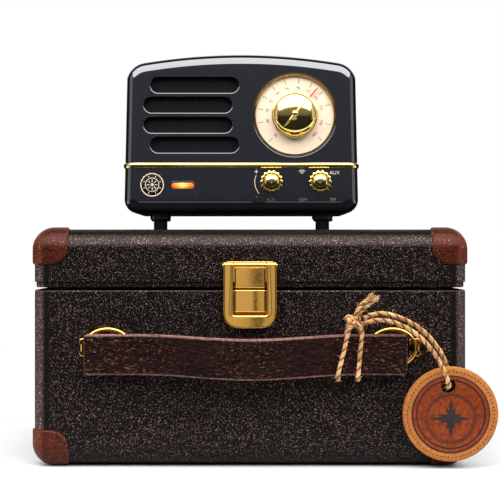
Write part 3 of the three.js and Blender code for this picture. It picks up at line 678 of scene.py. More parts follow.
def add_tag_layer(name, profile, materials, *replaced):
    """A turned leather disc with the hole for the twine cut through it."""
    shape = Shape()
    turned_y(shape, profile, (0, 0), 128)
    hole = Shape()
    turned_y(hole, [(0, -4), (TAG_HOLE_R, -4), (TAG_HOLE_R, 4), (0, 4)], TAG_HOLE, 48)
    cutter = hole.done("cutter", materials[0])
    made = shape.done(name, *materials, sharp=40)
    cut = made.modifiers.new("hole", "BOOLEAN")
    cut.object = cutter
    cut.operation = "DIFFERENCE"
    cut.solver = "EXACT"
    mesh = bpy.data.meshes.new_from_object(made.evaluated_get(bpy.context.evaluated_depsgraph_get()))
    made.modifiers.clear()
    made.data = mesh
    bpy.data.objects.remove(cutter)
    # The face layer's outer edge and its pressed groove take the second, dark material.
    if len(materials) > 1:
        for face in mesh.polygons:
            out = math.hypot(face.center.x, face.center.z) / MM
            face.material_index = 1 if out > 13.45 or 11.95 < out < 12.4 else 0
    scale = Matrix.Scale(MM, 4)
    mesh.transform(scale @ TAG_TO_PLACE @ scale.inverted())
    mesh.set_sharp_from_angle(angle=math.radians(40))
    place(made, "tag", "tag_leather", *replaced)


def add_tag_stitches(count=70):
    stitches = Shape()
    bead = Matrix.Translation((15.45, -TAG_HALF, 0)) @ Matrix.Diagonal((0.21, 0.14, 0.36, 1))
    for i in range(count):
        fresh = bmesh.ops.create_uvsphere(stitches.bm, u_segments=8, v_segments=6, radius=1)["verts"]
        stitches.shift(Matrix.Rotation(2 * math.pi * i / count, 4, "Y") @ bead, fresh)
    stitches.shift(TAG_TO_PLACE)
    place(stitches.done("tag_stitches", THREAD, sharp=60), "tag", "tag_leather")


def add_tag_star():
    """A compass star of two raised stars inside two fine rings."""
    star = Shape()
    y = TAG_FACE - 0.07
    sunk = TAG_FACE + 0.05
    centre = (0.0, -1.4)
    for points, long_r, short_r, start in ((8, 4.6, 1.9, math.pi / 8), (4, 7.2, 1.7, 0.0)):
        outline = []
        for i in range(2 * points):
            turn = start + math.pi * i / points
            radius = long_r if i % 2 == 0 else short_r
            outline.append((radius * math.sin(turn), radius * math.cos(turn)))
        peak = star.loop([(centre[0], y - 0.05, centre[1])])[0]
        ring = star.loop(on_y(outline, y, centre))
        foot = star.loop(on_y(outline, sunk, centre))
        for a, b in zip(ring, ring[1:] + ring[:1]):
            star.bm.faces.new((a, b, peak))
        star.bridge(ring, foot)
        star.bm.faces.new(foot)
    for radius in (8.3, 8.9):
        section = ((radius - 0.12, sunk), (radius - 0.12, y), (radius + 0.12, y), (radius + 0.12, sunk))
        star.loft([on_y(circle(r, 96), depth, centre) for r, depth in section], cyclic=True)
    star.shift(TAG_TO_PLACE)
    place(star.done("tag_star", TAG_INK, sharp=20), "tag", "tag_leather")


def add_tag():
    """A stitched leather disc: tan rim, red-brown face with two pressed rings and a compass star."""
    half, face, low = TAG_HALF, TAG_FACE, TAG_FACE + TAG_GROOVE
    rim = [(0, -half + 0.1), (13.6, -half + 0.1), (14.4, -half + 0.02), (16.3, -half - 0.02),
           (16.8, -half + 0.18), (TAG_R - 0.04, -half + 0.6), (TAG_R, 0), (TAG_R - 0.04, half - 0.5),
           (16.7, half - 0.08), (16.2, half), (0, half)]
    inner = [(0, face), (11.9, face), (12.0, low), (12.35, low), (12.45, face), (13.4, face),
             (13.5, face + 0.04), (13.95, face + 0.16), (14.05, face + 0.3), (14.05, -half + 0.3),
             (0, -half + 0.3)]
    add_tag_layer("tag_rim", rim, [TAG_TAN], "tag_disc")
    add_tag_layer("tag_face", inner, [TAG_RED, TAG_INK])
    add_tag_stitches()
    add_tag_star()


add_twine_hitch()
add_tag()


# ---------- carrying case ----------
def case_plan(inset, z, steps=10):
    """The case's outline seen from above, stood in by a margin."""
    corner = max(CASE_EDGE - inset, 1e-4)
    points = round_rect(-HALF + inset, HALF - inset, FRONT + inset, BACK - inset, corner, steps)
    return [(x, y, z) for x, y in points]


def edge_loops(z_side, direction, radius, steps):
    """Loops round a top or bottom edge, from the side wall to the flat."""
    return [case_plan(radius * (1 - c), z_side + direction * radius * s) for s, c in quarter(steps)]


def add_base():
    shape = Shape()
    bottom = base_low[2]
    rim = base_high[2]
    outer = edge_loops(bottom + CASE_EDGE, -1, CASE_EDGE, 12)[::-1]
    lip = edge_loops(rim - 0.7, 1, 0.7, 5)
    walls = [case_plan(WALL - 0.5, rim), case_plan(WALL, rim - 0.5), case_plan(WALL, bottom + WALL)]
    shape.loft(outer + lip + walls)
    place(shape.done("base_leather", CASE_LEATHER, weighted=True), "case_base", "case_leather", "base_shell")


def add_lid():
    shape = Shape()
    top = lid_high[2]
    low = lid_low[2]
    roof = edge_loops(top - CASE_EDGE, 1, CASE_EDGE, 12)[::-1]
    skirt = edge_loops(STEP_TOP + 0.5, -1, 0.5, 4)
    step = [case_plan(inset, z) for inset, z in ((STEP_INSET, STEP_TOP), (STEP_INSET, low + 0.25),
                                                 (STEP_INSET + 0.25, low))]
    shape.loft(roof + skirt + step + [case_plan(WALL, low), case_plan(WALL, top - WALL)])
    place(shape.done("lid_leather", CASE_LEATHER, weighted=True), "lid", "case_leather", "lid_shell")


CAP_PROUD = 0.8
CAP_REACH = 12.8
CAP_CORNER = 6.2
CAP_UNDERSIDE = -0.3


def cap_edge(steps):
    """The cap's rim on one face, from one box edge to the other, its inner corner rounded."""
    r = CAP_CORNER
    line = [(CAP_REACH, (CAP_REACH - r) * i / steps) for i in range(steps)]
    curve = arc((CAP_REACH - r, CAP_REACH - r), r, 0, 90, steps)
    return line + curve + [(v, u) for u, v in reversed(line)]


def add_cap(name, body, corner, signs):
    """A leather cap moulded over one rounded corner of the case."""
    shape = Shape()
    rim = cap_edge(12)
    depths = [i / 16 * 0.9 for i in range(17)] + [0.92, 0.94, 0.957, 0.972, 0.984, 0.993, 0.998, 1.0]

    def lift(k):
        """The leather's height at k of the way from the corner to the rim."""
        if k <= 0.9:
            return CAP_PROUD
        s = (k - 0.9) / 0.1
        return CAP_PROUD * math.sqrt(max(0.0, 1 - s ** 3)) - 0.25 * s ** 6

    def on_case(point, height):
        """Moves a point of the sharp corner on to the rounded case, and out by height."""
        core = Vector([max(v, CASE_EDGE) for v in point])
        away = point - core
        if away.length < 1e-9:
            return point
        return core + away.normalized() * (CASE_EDGE + height)

    def across(axis, u, v):
        """A point of the sharp corner's face that is square to an axis."""
        flat = [u, v]
        flat.insert(axis, 0)
        return Vector(flat)

    for under in (False, True):
        for axis in range(3):
            rows = []
            for k in depths:
                height = CAP_UNDERSIDE if under else lift(k)
                reach = max(k, 1e-5)
                rows.append(shape.loop([on_case(across(axis, reach * u, reach * v), height) for u, v in rim]))
            shape.skin(rows, closed=False)
    outward = Matrix.Diagonal((-signs[0], -signs[1], -signs[2], 1))
    shape.shift(Matrix.Translation(corner) @ outward)
    bmesh.ops.remove_doubles(shape.bm, verts=shape.bm.verts, dist=5e-3)
    bmesh.ops.holes_fill(shape.bm, edges=[e for e in shape.bm.edges if e.is_boundary], sides=12)
    bmesh.ops.bridge_loops(shape.bm, edges=[e for e in shape.bm.edges if e.is_boundary])
    place(shape.done(f"cap_{name}", CAP_LEATHER, sharp=50), body, "cap_leather", f"corner_cap_{name}")


def add_caps():
    for tall, z, sign_z, body in (("lower", base_low[2], -1, "case_base"), ("upper", lid_high[2], 1, "lid")):
        for deep, y, sign_y in (("front", FRONT, -1), ("rear", BACK, 1)):
            for wide, sign_x in (("left", -1), ("right", 1)):
                corner = Vector((sign_x * HALF, y, z))
                add_cap(f"{tall}_{deep}_{wide}", body, corner, (sign_x, sign_y, sign_z))


def rect_loop(half_x, y0, y1, radius, z):
    return [(x, y, z) for x, y in round_rect(-half_x, half_x, y0, y1, radius, 10)]


def add_linings():
    """The foam block with the radio's pocket, and the padded lining inside the lid."""
    low, high = box_mm("foam_insert")
    middle_y = (FRONT + BACK) / 2
    room_r = 4.4
    pocket_x, pocket_y, floor = 47, 33, low[2] + 5
    edge, soft = 1.6, 2.4
    shape = Shape()
    loops = [rect_loop(high[0], low[1], high[1], room_r, low[2])]
    for sine, cosine in quarter(6):
        inset = edge * (1 - cosine)
        z = high[2] - edge + edge * sine
        loops.append(rect_loop(high[0] - inset, low[1] + inset, high[1] - inset, room_r, z))
    for sine, cosine in quarter(6):
        grow = soft * (1 - sine)
        z = high[2] - soft * (1 - cosine)
        loops.append(rect_loop(pocket_x + grow, middle_y - pocket_y - grow, middle_y + pocket_y + grow,
                               4 + grow, z))
    loops.append(rect_loop(pocket_x, middle_y - pocket_y, middle_y + pocket_y, 4, floor + 1.5))
    loops.append(rect_loop(pocket_x - 1.5, middle_y - pocket_y + 1.5, middle_y + pocket_y - 1.5, 3, floor))
    shape.loft(loops)
    foam = place(shape.done("foam_block", LINING, weighted=True), "case_base", "lining", "foam_insert")

    low, high = box_mm("lid_lining")
    ply = 1.2
    shape = Shape()
    loops = [rect_loop(high[0], low[1], high[1], room_r, high[2]),
             rect_loop(high[0], low[1], high[1], room_r, low[2] + 0.6),
             rect_loop(high[0] - 0.2, low[1] + 0.2, high[1] - 0.2, room_r, low[2] + 0.15),
             rect_loop(high[0] - ply / 2, low[1] + ply / 2, high[1] - ply / 2, room_r - 0.5, low[2]),
             rect_loop(high[0] - ply + 0.2, low[1] + ply - 0.2, high[1] - ply + 0.2, room_r - 1,
                       low[2] + 0.15),
             rect_loop(high[0] - ply, low[1] + ply, high[1] - ply, room_r - 1.2, low[2] + 0.6)]
    for sine, cosine in quarter(6):
        inset = ply + soft * (1 - cosine)
        loops.append(rect_loop(high[0] - inset, low[1] + inset, high[1] - inset, room_r - 1.2,
                               high[2] - ply - soft + soft * sine))
    shape.loft(loops)
    pad = place(shape.done("lid_pad", LINING, weighted=True), "lid", "lining", "lid_lining")


add_base()
add_lid()
add_caps()
add_linings()


# ---------- brass fittings ----------
def plate_mesh(shape, outline, y_front, y_back, bevel, steps=4):
    """A flat plate of (x, z) outline whose front edge is rounded off."""
    loops = [on_y(outline, y_back)]
    count = len(outline)
    normals = []
    for i in range(count):
        edge = Vector(outline[(i + 1) % count]) - Vector(outline[i - 1])
        normals.append(Vector((edge.y, -edge.x)).normalized())
    area = sum(outline[i - 1][0] * outline[i][1] - outline[i][0] * outline[i - 1][1] for i in range(count))
    sign = 1 if area > 0 else -1
    for i in range(steps + 1):
        turn = math.pi / 2 * i / steps
        inset = bevel * (1 - math.cos(turn))
        points = [(p[0] - sign * n.x * inset, p[1] - sign * n.y * inset) for p, n in zip(outline, normals)]
        loops.append(on_y(points, y_front + bevel - bevel * math.sin(turn)))
    rings = [shape.loop(points) for points in loops]
    shape.skin(rings)
    shape.fill([rings[0]])
    shape.fill([rings[-1]])


def rod_x(shape, x0, x1, y, z, radius, edge=0.25, steps=28):
    """A rod along x with rounded ends."""
    profile = [(1e-5, x0)]
    for i in range(4):
        turn = math.pi / 2 * i / 3
        profile.append((radius - edge + edge * math.sin(turn), x0 + edge - edge * math.cos(turn)))
    for i in range(4):
        turn = math.pi / 2 * i / 3
        profile.append((radius - edge + edge * math.cos(turn), x1 - edge + edge * math.sin(turn)))
    profile.append((1e-5, x1))
    shape.loft([[(at, y + a, z + b) for a, b in circle(r, steps)] for r, at in profile])


def screw_head(shape, x, y, z, radius, outward=-1):
    """A domed screw head, facing along y."""
    profile = [(0, 0.3), (radius, 0.3), (radius, 0), (radius * 0.8, -0.28), (radius * 0.45, -0.45), (0, -0.5)]
    turned_y(shape, [(r, y - outward * d) for r, d in profile], (x, z), 24)


def add_pillow(shape, across, heights, y_front, y_back, crown=1.6, bend=300, soft=0.38, steps=36):
    """A tile whose front is very slightly bowed about a line off its middle, with rounded edges."""
    loops = []
    for i in range(steps + 1):
        x = across[0] + (across[1] - across[0]) * (1 - math.cos(math.pi * i / steps)) / 2
        from_end = min(x - across[0], across[1] - x)
        drop = soft - math.sqrt(max(0.0, soft ** 2 - (soft - min(from_end, soft)) ** 2))
        front = y_front + drop + (x - crown) ** 2 / (2 * bend)
        low, high = heights[0] + drop * 0.4, heights[1] - drop * 0.4
        section = [(y_back, low), (y_back, high)]
        section += [(front + soft * (1 - sine), high - soft * (1 - cosine)) for sine, cosine in quarter(5)]
        section += [(front + soft * (1 - cosine), low + soft * (1 - sine)) for sine, cosine in quarter(5)]
        loops.append([(x, y, z) for y, z in section])
    shape.loft(loops)


HASP_HALF = 9.5
HASP_OPENING = 6.0
HASP_BOTTOM = box_mm("clasp_hasp")[0][2]
PIN_Z = 72.9
PIN_Y = FRONT - 2.6


def hasp_outline():
    """The hasp's U: a broad round bottom, two arms and the opening between them."""
    def bend(p0, p1, p2, steps=10):
        return [tuple((1 - t) ** 2 * a + 2 * t * (1 - t) * b + t * t * c for a, b, c in zip(p0, p1, p2))
                for t in (i / steps for i in range(steps + 1))]
    top = PIN_Z + 0.4
    opening = 55.0
    left = bend((-HASP_HALF, HASP_BOTTOM + 5.2), (-HASP_HALF + 0.4, HASP_BOTTOM),
                (-HASP_HALF + 6.2, HASP_BOTTOM))
    right = bend((HASP_HALF - 6.2, HASP_BOTTOM), (HASP_HALF - 0.4, HASP_BOTTOM),
                 (HASP_HALF, HASP_BOTTOM + 5.2))
    soft = 0.5
    return ([(-HASP_HALF, top)] + left + right + [(HASP_HALF, top), (HASP_OPENING, top)]
            + arc((HASP_OPENING - soft, opening + soft), soft, 0, -90, 4)
            + arc((-HASP_OPENING + soft, opening + soft), soft, 270, 180, 4) + [(-HASP_OPENING, top)])


def add_clasp():
    hasp = Shape()
    plate_mesh(hasp, hasp_outline(), PIN_Y - 1.8, PIN_Y, 0.6)
    for side in (-1, 1):
        ends = sorted((side * HASP_OPENING, side * HASP_HALF))
        rod_x(hasp, ends[0], ends[1], PIN_Y, PIN_Z, 1.25)
    place(hasp.done("hasp_frame", BRASS, weighted=True), "hasp", "brass", "clasp_hasp")

    upper = Shape()
    plate_mesh(upper, round_rect(-8.8, 8.8, STEP_TOP + 0.2, 74.3, 0.8), FRONT - 0.7, FRONT - 0.05, 0.25)
    plate_mesh(upper, round_rect(-5.6, 5.6, 64.7, 73.6, 0.6), FRONT - 2.2, FRONT - 0.1, 0.45)
    rod_x(upper, -5.7, 5.7, PIN_Y, PIN_Z, 1.2)
    place(upper.done("lid_tile", BRASS, weighted=True), "lid", "brass", "clasp_lid_plate")

    button = Shape()
    add_pillow(button, (-5.6, 5.6), (56.1, 64.1), FRONT - 2.2, FRONT - 1.38)
    place(button.done("button_tile", BRASS, weighted=True), "catch_button", "brass", "clasp_button")

    # The catch plate behind the button is in the darker brass, a painted shade.
    catch = Shape()
    outline = round_rect(-8.8, 8.8, 52, 63.6, 1.6)
    plate_mesh(catch, outline, FRONT - 0.7, FRONT - 0.05, 0.2)
    place(catch.done("catch_plate", DARK_BRASS, weighted=True), "case_base", "brass", "clasp_catch")


def add_rings():
    for wide, side in (("left", -1), ("right", 1)):
        points = []
        for i in range(72):
            turn = 2 * math.pi * i / 72
            points.append(Vector((side * RING_X + RING_HALF_WIDTH * math.cos(turn), FRONT - 2.4,
                                  RING_Z + RING_HALF_HEIGHT * math.sin(turn))))
        ring = Shape()
        add_tube(ring, points, 0.75, 16, closed=True)
        place(ring.done(f"ring_{wide}", BRASS, sharp=80), f"ring_{wide}", "brass", f"handle_ring_{wide}")

        x = side * (RING_X + RING_HALF_WIDTH)
        anchor = Shape()
        plate_mesh(anchor, round_rect(x - 2.2, x + 2.2, RING_Z - 3.3, RING_Z + 3.3, 1.3), FRONT - 0.9,
                   FRONT - 0.05, 0.35)
        # A strip bent over the wire holds the ring to the plate.
        outer = arc((x, FRONT - 0.9), 1, 180, 360, 20)
        loops = []
        for px, py in outer:
            dx, dy = px - x, py - (FRONT - 0.9)
            section = []
            for w, grow in ((-1.2, 0), (-1.2, 0.6), (1.2, 0.6), (1.2, 0)):
                section.append((x + dx * (1.45 + grow), FRONT - 0.9 + dy * (2.5 + grow), RING_Z + w))
            loops.append(section)
        anchor.loft(loops)
        for z in (RING_Z - 2.3, RING_Z + 2.3):
            screw_head(anchor, x, FRONT - 0.95, z, 0.55)
        place(anchor.done(f"anchor_{wide}", BRASS, weighted=True), "case_base", "brass",
              f"ring_anchor_{wide}")


HINGE_X = 46
HINGE_WIDTH = 16
HINGE_Y = BACK + 1.9
HINGE_Z = 64.45
KNUCKLE_R = 1.4


def add_hinges():
    third = HINGE_WIDTH / 3
    for wide, side in (("left", -1), ("right", 1)):
        x0 = side * HINGE_X - HINGE_WIDTH / 2
        for upper in (False, True):
            leaf = Shape()
            z0, z1 = (STEP_TOP + 0.4, STEP_TOP + 9) if upper else (base_high[2] - 9.6, base_high[2] - 1.3)
            plate_mesh(leaf, round_rect(x0, x0 + HINGE_WIDTH, z0, z1, 0.9), BACK + 1.1, BACK + 0.05, 0.3)
            outer = [(0, third - 0.15), (2 * third + 0.15, HINGE_WIDTH)]
            spans = [(third + 0.15, 2 * third - 0.15)] if upper else outer
            for a, b in spans:
                rod_x(leaf, x0 + a, x0 + b, HINGE_Y, HINGE_Z, KNUCKLE_R)
                reach = z0 + 0.5 if upper else z1 - 0.5
                outline = round_rect(x0 + a + 0.1, x0 + b - 0.1, min(HINGE_Z, reach), max(HINGE_Z, reach),
                                     0.1, 2)
                plate_mesh(leaf, outline, BACK + 1.1, BACK + 0.35, 0.1, 2)
            if not upper:
                rod_x(leaf, x0 - 0.1, x0 + HINGE_WIDTH + 0.1, HINGE_Y, HINGE_Z, 0.6)
            for x in (x0 + 3, x0 + HINGE_WIDTH / 2, x0 + HINGE_WIDTH - 3):
                screw_head(leaf, x, BACK + 1.15, (z0 + z1) / 2, 1.1, outward=1)
            body, node = ("lid", "hinge_lid_leaf") if upper else ("case_base", "hinge_base_leaf")
            name = f"{node}_{wide}"
            place(leaf.done(f"brass_{name}", BRASS, weighted=True), body, "brass", name)


add_clasp()
add_rings()
add_hinges()


# ---------- handle ----------
def strap_point(x, y, z):
    """A point of the strap laid flat, moved on to its bow: y is 0 at its back and negative in front."""
    return Vector((x, FRONT - strap_proud(x) + y, STRAP_BOTTOM + z - STRAP_SAG * bow(x)))


def add_strap():
    shape = Shape()
    steps = 260
    corner = 1.0
    loops = []
    for i in range(steps + 1):
        s = i / steps
        x = STRAP_LEFT + (STRAP_RIGHT - STRAP_LEFT) * s
        from_end = min(x - STRAP_LEFT, STRAP_RIGHT - x)
        ease = 1.5
        narrow = 0.0 if from_end > ease else ease - math.sqrt(max(0.0, ease ** 2 - (ease - from_end) ** 2))
        thin = 0.6 * max(0.0, 1 - from_end / 1.2) ** 2
        section = round_rect(-STRAP_THICK + thin, -0.0 - thin, narrow, STRAP_HEIGHT - narrow, corner, 7)
        dense = []
        for a, b in zip(section, section[1:] + section[:1]):
            parts = max(1, round(math.dist(a, b) / 0.45))
            dense += [(a[0] + (b[0] - a[0]) * k / parts, a[1] + (b[1] - a[1]) * k / parts)
                      for k in range(parts)]
        loops.append((x, dense))
    count = min(len(dense) for _, dense in loops)
    rings = []
    for x, dense in loops:
        even = [dense[round(k * len(dense) / count) % len(dense)] for k in range(count)]
        ring = []
        for y, z in even:
            spot = Vector((x * 0.16, y * 0.9, z * 0.55))
            crease = noise.noise(spot) + 0.6 * noise.noise(spot * 2.7 + Vector((4, 0, 0)))
            rough = 0.10 * crease if y < -STRAP_THICK + 0.5 else 0.04 * crease
            lower = 0.16 * noise.noise(Vector((x * 0.7, y, 0))) if z < 0.8 else 0.0
            ring.append(strap_point(x, y - rough, z + lower))
        rings.append(ring)
    shape.loft(rings)
    for face in shape.bm.faces:
        middle = face.calc_center_median()
        rise = middle.z - (STRAP_BOTTOM - STRAP_SAG * bow(middle.x))
        if rise > STRAP_HEIGHT - 0.75 or rise < 0.55 or abs(face.normal.x) > 0.7:
            face.material_index = 1
    strap = shape.done("strap_leather", STRAP_LEATHER, EDGE_LEATHER, sharp=60)
    place(strap, "handle", "strap_leather", "handle_strap")


def add_strap_lining():
    shape = Shape()
    loops = []
    for i in range(81):
        x = -40.6 + 81.2 * i / 80
        section = round_rect(0.3, 0.95, 3.1, 11.5, 0.25, 3)
        loops.append([strap_point(x, y, z) for y, z in section])
    shape.loft(loops)
    # The folded ends that hold the rings.
    for side in (-1, 1):
        x = side * 43.8
        track = round_rect(-3.25, 3.25, -1.55, 1.55, 1.5, 8)
        rows = []
        for px, py in track:
            length = math.hypot(px / 3.25, py / 1.55)
            out = Vector((px / 3.25, py / 1.55)).normalized() * 0.35 if length else Vector((0, 0))
            inner = (x + px - out.x, FRONT - 2.25 + py - out.y)
            outer = (x + px + out.x, FRONT - 2.25 + py + out.y)
            rows.append([(*inner, RING_Z - 2), (*outer, RING_Z - 2), (*outer, RING_Z + 2),
                         (*inner, RING_Z + 2)])
        shape.loft(rows, cyclic=True)
    place(shape.done("strap_ply", STRAP_LEATHER, sharp=40), "handle", "strap_leather", "strap_lining")


add_strap()
add_strap_lining()


# ---------- radio ----------
def bezier(p0, p1, p2, p3, steps):
    out = []
    for i in range(steps):
        t = i / steps
        out.append(tuple((1 - t) ** 3 * a + 3 * t * (1 - t) ** 2 * b + 3 * t * t * (1 - t) * c + t ** 3 * d
                         for a, b, c, d in zip(p0, p1, p2, p3)))
    return out


def rounded(start, corner, end, steps=16):
    pull = [tuple(v + (c - v) * 0.56 for v, c in zip(p, corner)) for p in (start, end)]
    return bezier(start, pull[0], pull[1], end, steps)


def stretch(start, end, steps):
    return [tuple(a + (b - a) * i / steps for a, b in zip(start, end)) for i in range(steps)]


def face_outline(grow):
    """The radio seen from the front, grown by a margin: tapered sides under a shallow arch."""
    centre_z = FACE_HEIGHT - ARCH_R
    turn = math.acos((FACE_HALF_TOP - TOP_R) / ARCH_R)
    arch_end = ((ARCH_R + grow) * math.cos(turn), centre_z + (ARCH_R + grow) * math.sin(turn))
    corner_z = arch_end[1] - (FACE_HALF_TOP + grow - arch_end[0]) / math.tan(turn)
    start = (FACE_HALF_BOTTOM - BOTTOM_R, -grow)
    side_low = (FACE_HALF_BOTTOM + grow, BOTTOM_R)
    side_high = (FACE_HALF_TOP + grow, FACE_SHOULDER - TOP_R)
    right = (stretch((0, -grow), start, 12) + rounded(start, (FACE_HALF_BOTTOM + grow, -grow), side_low)
             + stretch(side_low, side_high, 14) + rounded(side_high, (FACE_HALF_TOP + grow, corner_z),
                                                          arch_end))
    degrees = math.degrees(turn)
    right += arc((0, centre_z), ARCH_R + grow, degrees, 90, 22)
    return right + [(-x, z) for x, z in reversed(right[1:-1])]


def in_radio(points, y):
    return [(RADIO_X + x, RADIO_FRONT + y, RADIO_BOTTOM + z) for x, z in points]


def rim_hole(shape, outline_of, soft=0.45, back=RADIO_WALL):
    """A hole through the front whose rim is rounded over; gives its front and back loops."""
    rings = []
    for sine, cosine in quarter(5):
        rings.append(shape.loop(in_radio(outline_of(soft * (1 - sine)), soft * (1 - cosine))))
    rings.append(shape.loop(in_radio(outline_of(0), back)))
    shape.skin(rings)
    return rings[0], rings[-1]


def moved(points, centre):
    return [(centre[0] + x, centre[1] + z) for x, z in points]


def add_casing():
    shape = Shape()
    holes = [rim_hole(shape, lambda g, c=c: moved(stadium(*SLOT_SIZE, g), c)) for c in SLOT_PLACES]
    holes.append(rim_hole(shape, lambda g: moved(circle(BEZEL_R + g, 96), DIAL)))
    for x in (VOLUME_X, MODE_X):
        holes.append(rim_hole(shape, lambda g, x=x: moved(circle(2.4 + g, 32), (x, CONTROL_Z)), 0.2))
    holes.append(rim_hole(shape, lambda g: moved(stadium(*LENS_SIZE, g), LENS), 0.25))

    rings = []
    for sine, cosine in quarter(14):
        grow = -RADIO_EDGE + RADIO_EDGE * sine
        rings.append(shape.loop(in_radio(face_outline(grow), RADIO_EDGE * (1 - cosine))))
    for grow, y in ((0, RADIO_JOINT - 0.3), (-0.3, RADIO_JOINT), (-RADIO_WALL, RADIO_JOINT),
                    (-RADIO_WALL, RADIO_WALL)):
        rings.append(shape.loop(in_radio(face_outline(grow), y)))
    shape.skin(rings)
    shape.fill([rings[0]] + [front for front, _ in holes])
    shape.fill([rings[-1]] + [back for _, back in holes])
    place(shape.done("casing_enamel", ENAMEL, weighted=True), "radio", "black_enamel", "radio_casing")


def add_rear_cover():
    shape = Shape()
    rings = []
    for grow, y in ((-RADIO_WALL, RADIO_JOINT + 0.3), (-0.3, RADIO_JOINT + 0.3), (0, RADIO_JOINT + 0.6)):
        rings.append(shape.loop(in_radio(face_outline(grow), y)))
    for sine, cosine in quarter(14):
        grow = -RADIO_EDGE + RADIO_EDGE * cosine
        rings.append(shape.loop(in_radio(face_outline(grow), RADIO_DEPTH - RADIO_EDGE + RADIO_EDGE * sine)))
    inner = shape.loop(in_radio(face_outline(-RADIO_WALL), RADIO_DEPTH - RADIO_WALL))
    shape.skin(rings)
    shape.bridge(rings[0], inner)

    usb, jack = (-10, 11.5), (6, 11.5)
    outlines = [moved(round_rect(-4.3, 4.3, -1.9, 1.9, 1.2, 6), usb), moved(circle(2.9, 32), jack)]
    outlines += [moved(circle(1.3, 20), (x, z)) for x in (-39.2, 39.2) for z in (7.5, 47)]
    # Four rows of small vents behind the battery.
    for row in range(4):
        outlines += [moved(stadium(9, 1.6, 0, 6), (column * 12.5, 44 - 4.2 * row)) for column in (-1, 0, 1)]
    backs, fronts = [], []
    for outline in outlines:
        back = shape.loop(in_radio(outline, RADIO_DEPTH))
        front = shape.loop(in_radio(outline, RADIO_DEPTH - RADIO_WALL))
        shape.bridge(back, front)
        backs.append(back)
        fronts.append(front)
    shape.fill([rings[-1]] + backs)
    shape.fill([inner] + fronts)
    place(shape.done("cover_enamel", ENAMEL, weighted=True), "radio", "black_enamel", "radio_rear_cover")


def add_band():
    """The brass band let in round the front and sides, with a rounded face."""
    half = FACE_HALF_BOTTOM - (BAND_Z - BOTTOM_R) / (FACE_SHOULDER - TOP_R - BOTTOM_R)
    r = RADIO_EDGE
    plan = [((-half, 44), (-1, 0)), ((-half, r), (-1, 0))]
    plan += [((-half + r - r * math.cos(t), r - r * math.sin(t)), (-math.cos(t), -math.sin(t)))
             for t in (math.pi / 2 * i / 12 for i in range(1, 13))]
    plan += [((-x, y), (-nx, ny)) for (x, y), (nx, ny) in reversed(plan)]
    turns = [math.radians(a) for a in (-90, -60, -35, -12, 12, 35, 60, 90)]
    section = [(-0.5, -1.0)] + [(0.18 + 0.42 * math.cos(t), math.sin(t)) for t in turns] + [(-0.5, 1.0)]
    shape = Shape()
    middle = RADIO_BOTTOM + BAND_Z
    shape.loft([[(RADIO_X + x + nx * out, RADIO_FRONT + y + ny * out, middle + up) for out, up in section]
                for (x, y), (nx, ny) in plan])
    place(shape.done("brass_band", GOLD, sharp=50), "radio", "brass", "trim_band")


def radio_turned(shape, profile, centre, steps=96):
    middle = (RADIO_X + centre[0], RADIO_BOTTOM + centre[1])
    turned_y(shape, [(r, RADIO_FRONT + y) for r, y in profile], middle, steps)


def add_bezel():
    """A black ring with two fine gold lips; its black is partly a real black chamfer and partly a painted
    shadow of the recess.
    """
    shape = Shape()
    gilt = [(14.76, 14.94), (15.2, 15.32)]
    inner, outer = 14.7, BEZEL_R - 0.05
    profile = [(inner, 2.3), (inner, 0.75), (14.76, 0.5), (14.82, 0.42), (14.88, 0.42), (14.94, 0.5),
               (15.04, 0.7),
               (15.14, 0.55), (15.2, 0.3), (15.26, 0.24), (15.32, 0.3), (15.4, 0.4), (outer, 0.5),
               (outer, 2.3)]
    centre = (RADIO_X + DIAL[0], RADIO_BOTTOM + DIAL[1])
    rows = [on_y(circle(radius, 128), RADIO_FRONT + y, centre) for radius, y in profile]
    shape.loft(rows, cyclic=True)
    for face in shape.bm.faces:
        middle = face.calc_center_median()
        out = math.hypot(middle.x - centre[0], middle.z - centre[1])
        if middle.y < RADIO_FRONT + 0.52 and any(low - 0.01 < out < high + 0.01 for low, high in gilt):
            face.material_index = 1
    place(shape.done("bezel_ring", FOOT_BLACK, GOLD, sharp=50), "radio", "brass", "dial_bezel")


def add_dial_card():
    """The cream card that fills the bezel, with a hole for the knob's stem."""
    shape = Shape()
    low, high = box_mm("dial_plate")
    profile = [(2.4, high[1]), (2.4, low[1]), (PLATE_R, low[1]), (PLATE_R, high[1])]
    centre = (RADIO_X + DIAL[0], RADIO_BOTTOM + DIAL[1])
    shape.loft([on_y(circle(r, 96), y, centre) for r, y in profile], cyclic=True)
    place(shape.done("dial_card", CREAM, sharp=40), "radio", "dial_cream", "dial_plate")


def letters(shape, text, size, centre, y, thick=0.05, turn=0.0):
    """Plain sans lettering standing a little proud, its middle at centre (x, z)."""
    curve = bpy.data.curves.new("letters", "FONT")
    curve.body = text
    curve.size = size
    curve.extrude = thick / 2
    curve.align_x = "CENTER"
    curve.align_y = "CENTER"
    curve.resolution_u = 4
    obj = bpy.data.objects.new("letters", curve)
    bpy.context.collection.objects.link(obj)
    mesh = bpy.data.meshes.new_from_object(obj.evaluated_get(bpy.context.evaluated_depsgraph_get()))
    bpy.data.objects.remove(obj)
    stand = Matrix.Rotation(turn, 4, "Y") @ Matrix.Rotation(math.pi / 2, 4, "X")
    shape.add_mesh(mesh, Matrix.Translation((centre[0], y, centre[1])) @ stand)


def strip_between(shape, start, end, width, y, thick=0.05):
    """A thin straight mark from start to end, both (x, z)."""
    a, b = Vector(start), Vector(end)
    side = (b - a).normalized().orthogonal() * width / 2
    corners = [a + side, b + side, b - side, a - side]
    shape.loft([[(p.x, y - thick / 2, p.y) for p in corners], [(p.x, y + thick / 2, p.y) for p in corners]])


